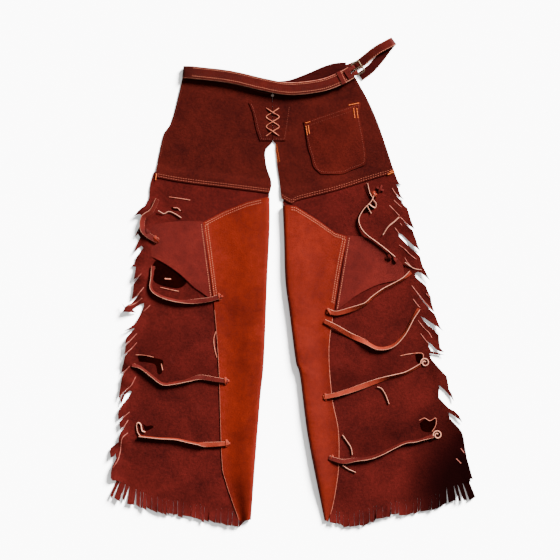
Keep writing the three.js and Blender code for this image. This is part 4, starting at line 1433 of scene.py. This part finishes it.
TIES = (
    Tie(
        "left_tie_1", Body.LEFT,
        (
            (-302, 92, B), (-318, 101, B + 0.4), (-336, 118, P + 2), (-335, 144, P + 0.6), (-316, 160, P),
            (-303, 186, P),
        ),
        14, turns=((0, 12), (0.2, 24), (0.4, 40), (0.7, 24), (1, 36)),
    ),
    Tie(
        "left_tie_2", Body.LEFT,
        (
            (-160, -32, F), (-190, -40, F), (-230, -44, P + 1), (-262, -42, P), (-296, -32, P),
            (-317, -16, P), (-316, 10, P), (-313, 36, P),
        ),
    ),
    Tie(
        "left_tie_3", Body.LEFT,
        (
            (-145, -223, F), (-172, -219, F), (-208, -214, P + 0.6), (-236, -221, P), (-264, -227, P),
            (-291, -229, P), (-313, -214, P), (-340, -193, P), (-360, -186, P),
        ),
    ),
    Tie(
        "left_tie_4", Body.LEFT,
        (
            (-143, -362, F), (-168, -364, F), (-200, -365, P + 0.6), (-230, -360, P), (-262, -353, P),
            (-298, -351, P), (-345, -346, P),
        ),
        bright=True, turns=((0, 5), (0.24, 10), (0.34, 72), (1, 80)),
    ),
    Tie(
        "right_tie_1", Body.RIGHT,
        (
            (184, 200, P), (176, 182, P), (159, 164, P), (148, 142, P), (153, 122, P + 1),
            (166, 106, B + 0.4), (185, 92, B), (206, 76, B), (230, 56, B),
        ),
        7, turns=((0, 60), (0.5, 74), (1, 70)),
    ),
    Tie(
        "right_tie_2_upper", Body.RIGHT,
        (
            (78, -64, F), (98, -70, F), (130, -62, F - 1), (161, -50, B + 1), (180, -34, B + 1),
            (205, -16, B + 0.6), (232, -2, B + 0.4), (252, 10, B + 0.2), (266, 22, P + 1.4),
        ),
        bright=True,
    ),
    Tie(
        "right_tie_2_lower", Body.RIGHT,
        (
            (72, -88, F), (98, -101, F), (129, -119, P + 0.6), (160, -133, P), (192, -149, P),
            (224, -144, P), (250, -119, P), (271, -81, P), (284, -60, P),
        ),
        bright=True, turns=((0, 10), (0.25, 16), (0.42, -50), (0.9, -62), (1, -40)),
    ),
    Tie(
        "right_tie_3", Body.RIGHT,
        (
            (70, -259, F), (98, -253, F), (126, -245, P + 0.6), (155, -235, P), (183, -225, P),
            (222, -212, P), (254, -204, P), (288, -186, P),
        ),
        bright=True, turns=((0, -8), (0.2, -30), (0.4, -8), (0.55, 14), (0.7, 58), (1, 50)),
    ),
    Tie(
        "right_tie_4", Body.RIGHT,
        (
            (82, -394, F + 1.6), (100, -400, F + 1.2), (116, -403, F - 0.4), (142, -399, P + 0.6),
            (170, -396, P), (197, -387, P), (249, -362, P), (278, -357, P), (316, -346, P),
        ),
        turns=EDGE_DOWN,
    ),
)
THONGS = (
    thong(
        "left_wave_thong", Body.CHAPS,
        ((-302, 160, T + 2.6), (-289, 153, T), (-278, 158, T), (-264, 153, T), (-250, 144, T)),
    ),
    thong("right_side_thong", Body.CHAPS, ((240, 146, T), (228, 135, T), (215, 124, T), (203, 106, T))),
    thong(
        "right_tip_thong", Body.RIGHT, ((252, 44, B - 1), (266, 34, T + 1), (276, 29, T), (290, 27, T)),
    ),
    thong(
        "right_hook_thong", Body.CHAPS,
        ((190, -236, T), (200, -240, T), (208, -252, T), (213, -264, T), (217, -274, T)),
    ),
    thong(
        "right_arc_thong", Body.CHAPS,
        ((112, -344, T), (122, -358, T), (130, -370, T), (133, -380, T), (134, -388, T)),
    ),
    thong("right_tail_thong", Body.CHAPS, ((112, -412, T), (124, -420, T), (142, -428, T))),
)
CURLS = (
    thong(
        "right_loop_curl", Body.CHAPS,
        (
            (178, 187, P), (187, 177, P), (186, 167, T), (179, 170, T), (171, 176, T), (168, 172, T),
            (172, 162, T), (177, 154, T),
        ),
        in_frame=False,
    ),
    Tie(
        "right_seam", Body.CHAPS, ((167, 222, T + 2.4), (168, 214, T + 1), (172, 200, T), (180, 187, T)),
        6.5, 1.4, ((0, 20), (1, 50)), in_frame=False,
    ),
    thong(
        "left_loop_curl", Body.CHAPS,
        (
            (-331, -337, T), (-338, -334, T), (-341, -320, T), (-347, -316, T), (-351, -322, T),
            (-348, -338, T), (-342, -346, T),
        ),
        in_frame=False,
    ),
)


@dataclass(frozen=True)
class Knot:
    """A tie's knot: short arched passes that cross on one spot."""

    name: str
    body: Body
    x: float
    y: float
    base: float
    angles: tuple[float, ...] = (8, 98)
    size: float = 8.0

    def build(self, finishes: Wardrobe, nodes: Sequence[str] | None = None) -> bpy.types.Object:
        """Makes the knot, which stands for its own CAD node or for the nodes given."""
        parts = []
        for i, angle in enumerate(self.angles):
            way = Vector((math.cos(math.radians(angle)), math.sin(math.radians(angle)), 0))
            line = []
            for step in range(9):
                t = step / 4 - 1
                rise = (self.base + (1.5 + 1.7 * i) * (1 - t * t) + 0.9) * MM
                spot = Vector((self.x * MM, self.y * MM, 0)) + way * t * self.size * MM
                line.append(Vector((spot.x, spot.y, rise + lie(spot.x, spot.y))))
            turn = math.radians(22 if i % 2 else -20)
            parts.append(ribbon(self.name, line, *strap_section(0.0052, 0.0016), lambda share: turn))
        knot = join(f"{self.name}_passes", parts)
        # Knots take the painted-light copy of the tie leather, rosettes the darker strap leather.
        mats = (finishes.orange if nodes is None else finishes.strap, finishes.edge, finishes.strap)
        return finish_piece(knot, self.body, mats, (self.name,) if nodes is None else nodes)


ROSETTES = (
    ("left_top_rosette", Body.LEFT, -326, 112, 5.2, (15, 95), 7),
    ("right_top_rosette", Body.CHAPS, 197, 209, 2.2, (-25, 65), 9),
    ("right_low_rosette", Body.RIGHT, 217, 56, 4.6, (10, 55, 100), 8),
    ("right_side_rosette", Body.RIGHT, 231, 49, 4.6, (30, 120), 6),
)
KNOTS = (
    Knot("left_knot_1", Body.LEFT, -308, 95, 4.4, (20, 85, 140), 9),
    Knot("left_knot_2", Body.LEFT, -164, -33, 4.9, (10, 100)),
    Knot("left_knot_3", Body.LEFT, -150, -222, 5.0, (4, 94)),
    Knot("left_knot_4", Body.LEFT, -148, -362, 5.2, (0, 90)),
    Knot("right_knot_1", Body.RIGHT, 182, 196, 2.2, (10, 75, 130), 8),
    Knot("right_knot_2", Body.RIGHT, 83, -66, 5.4, (30, 120)),
    Knot("right_knot_3", Body.RIGHT, 75, -258, 4.9, (10, 100)),
    Knot("right_knot_4", Body.RIGHT, 88, -396, 5.4, (-10, 70)),
)


def build_coils(finishes: Wardrobe) -> None:
    """Makes the pale coils that two ties end in, and the loose rosettes of knotted strap."""
    for name, body, x, y, base, angles, size in ROSETTES:
        Knot(name, body, x, y, base, angles, size).build(finishes, ())
    for name, x, y in (("right_coil_3", 297, -181), ("right_coil_4", 325, -343.5)):
        line = []
        for step in range(46):
            angle = step / 45 * 2.9 * math.pi + 0.6
            radius = (2.4 + 6.4 * ease(0, 0.7, step / 45)) * MM
            spot = Vector((x * MM + radius * math.cos(angle), y * MM + radius * math.sin(angle), 0))
            line.append(Vector((spot.x, spot.y, lie(spot.x, spot.y) + (4.1 - 0.8 * step / 45) * MM)))
        coil = ribbon(f"{name}_strap", line, *strap_section(0.0034, 0.0024), lambda share: math.radians(84))
        finish_piece(coil, Body.CHAPS, (finishes.edge,) * 3, (name,))
        run_of(line)


# Painted shade: near-black patches on the panel for the shadow in the holes where ties and thongs pass and
# beneath the left lobe, as millimetre outlines.
PAINTED_SLIT_SHADE = (
    ((-274, 168), (-258, 166), (-247, 158), (-256, 160), (-268, 161)),
    (
        (-318, 38), (-304, 49), (-288, 44), (-268, 30), (-252, 16), (-238, 2), (-245, -9), (-258, -14),
        (-276, -12), (-298, -6), (-311, 2), (-318, 20),
    ),
    (
        (-376, -166), (-340, -164), (-312, -170), (-292, -176), (-291, -190), (-295, -206), (-303, -205),
        (-308, -186), (-330, -180), (-352, -178),
    ),
    ((-336, -318), (-332, -332), (-326, -334), (-312, -326), (-318, -322), (-328, -324)),
    ((276, -163), (292, -160), (293, -172), (288, -183), (279, -178)),
    ((286, -318), (297, -309), (308, -314), (321, -308), (320, -325), (312, -337), (292, -334)),
    ((300, -348), (318, -346), (321, -353), (308, -361)),
    ((158, 163), (170, 172), (182, 176), (186, 168), (172, 158), (160, 154)),
    ((256, 42), (270, 34), (262, 30), (250, 34)),
)
LIPS = (
    (((243, -166), (262, -162), (290, -160), (294, -170), (290, -184)), 0.8),
    (((285, -311), (297, -306), (309, -312), (322, -306), (322, -322), (314, -336)), 0.7),
    (((-172, -110), (-177, -128), (-175, -150), (-170, -170)), 0.9),
    (((-277, 191), (-254, 188), (-230, 184)), 0.8), (((-268, 167), (-258, 166), (-252, 160)), 0.9),
    (((-297, -12), (-280, -16), (-256, -21)), 0.8), (((-287, 7), (-273, 6)), 1.8),
    (((-377, -165), (-340, -164), (-312, -169)), 0.5), (((-295, -184), (-292, -198)), 1.1),
)


def build_slits(finishes: Wardrobe) -> None:
    """Makes the painted shade of the holes through which the ties pass, and beneath the left lobe, as thin
    near-black sheets on the panel, with the pale lips of some of the holes.
    """
    parts = []
    for corners in PAINTED_SLIT_SHADE:
        outline = pattern((*corners, corners[0]), step=0.003)
        parts.append(cut_sheet("slit", outline, lambda x, y: panel_face(x, y) + 0.0001, 0.0003, 0.005))
    slit_shade_sheets = join("tie_slits", parts)
    finish_piece(slit_shade_sheets, Body.CHAPS, (finishes.hollow, finishes.hollow))
    proud = Vector((0, 0, 0.0006))
    lips = [tube("lip", [at + proud for at in on(panel_face, line)], width * MM) for line, width in LIPS]
    lips = join("slit_lips", lips)
    finish_piece(lips, Body.CHAPS, (finishes.edge_mid,))


# ---- Studio ---------------------------------------------------------------------------------


CAMERA_AT = (-0.028, 0.0045, 5)
LENS, SENSOR = 142.9, 36
FLOOR_SIZE, FLOOR_HEIGHT = 12, -0.0004


def lamp(name: str, kind: str, at: tuple[float, float, float], energy: float) -> bpy.types.Object:
    """A light that faces the middle of the chaps: a sun's energy is W/m2, an area's is watts."""
    bpy.ops.object.light_add(type=kind, location=at)
    light = bpy.context.object
    light.name = name
    light.data.energy = energy
    light.rotation_euler = (-Vector(at)).to_track_quat("-Z", "Y").to_euler()
    return light


def build_studio() -> None:
    """Makes the camera straight above, a white floor, a low key from the upper right and soft fill."""
    bpy.ops.object.camera_add(location=CAMERA_AT, rotation=(0, 0, 0))
    camera = bpy.context.object
    camera.data.lens = LENS
    camera.data.sensor_width = SENSOR
    bpy.context.scene.camera = camera
    bpy.ops.mesh.primitive_plane_add(size=FLOOR_SIZE, location=(0, 0, FLOOR_HEIGHT))
    floor = bpy.context.object
    floor.name = "floor"
    paper = Finish("white floor")
    paper.set(Base_Color=(0.93, 0.92, 0.92, 1), Roughness=0.9, Specular_IOR_Level=0.1)
    floor.data.materials.append(paper.material)
    key = lamp("key", "SUN", (2.0, 2.2, 1.7), 66)
    key.data.angle = math.radians(20)
    fill = lamp("fill", "AREA", (-0.6, -0.6, 3.4), 40)
    fill.data.size = 3.5
    world = bpy.data.worlds.new("pale")
    bpy.context.scene.world = world
    world.use_nodes = True
    backdrop = world.node_tree.nodes["Background"]
    backdrop.inputs["Color"].default_value = (1, 0.99, 0.98, 1)
    backdrop.inputs["Strength"].default_value = 0.72


def main() -> None:
    """Builds the chaps."""
    logging.basicConfig(level=logging.INFO, format="%(message)s")
    build_studio()
    finishes = Wardrobe()
    knots = {knot.name: knot.build(finishes) for knot in KNOTS}
    for tie in TIES:
        knot = knots.get(tie.name.replace("tie", "knot").replace("_upper", ""))
        tie.build(finishes, () if knot is None else (knot,))
    for tie in (*THONGS, *CURLS):
        tie.build(finishes)
    build_coils(finishes)
    for yoke in (LEFT_YOKE, RIGHT_YOKE):
        yoke.build(finishes)
    build_front(finishes)
    for leg in (LEFT_LEG, RIGHT_LEG):
        leg.build(finishes)
    build_slits(finishes)
    build_belt(finishes)
    build_eyelet(finishes)
    build_tail(finishes)
    build_buckle(finishes)


if __name__ == "__main__":
    main()
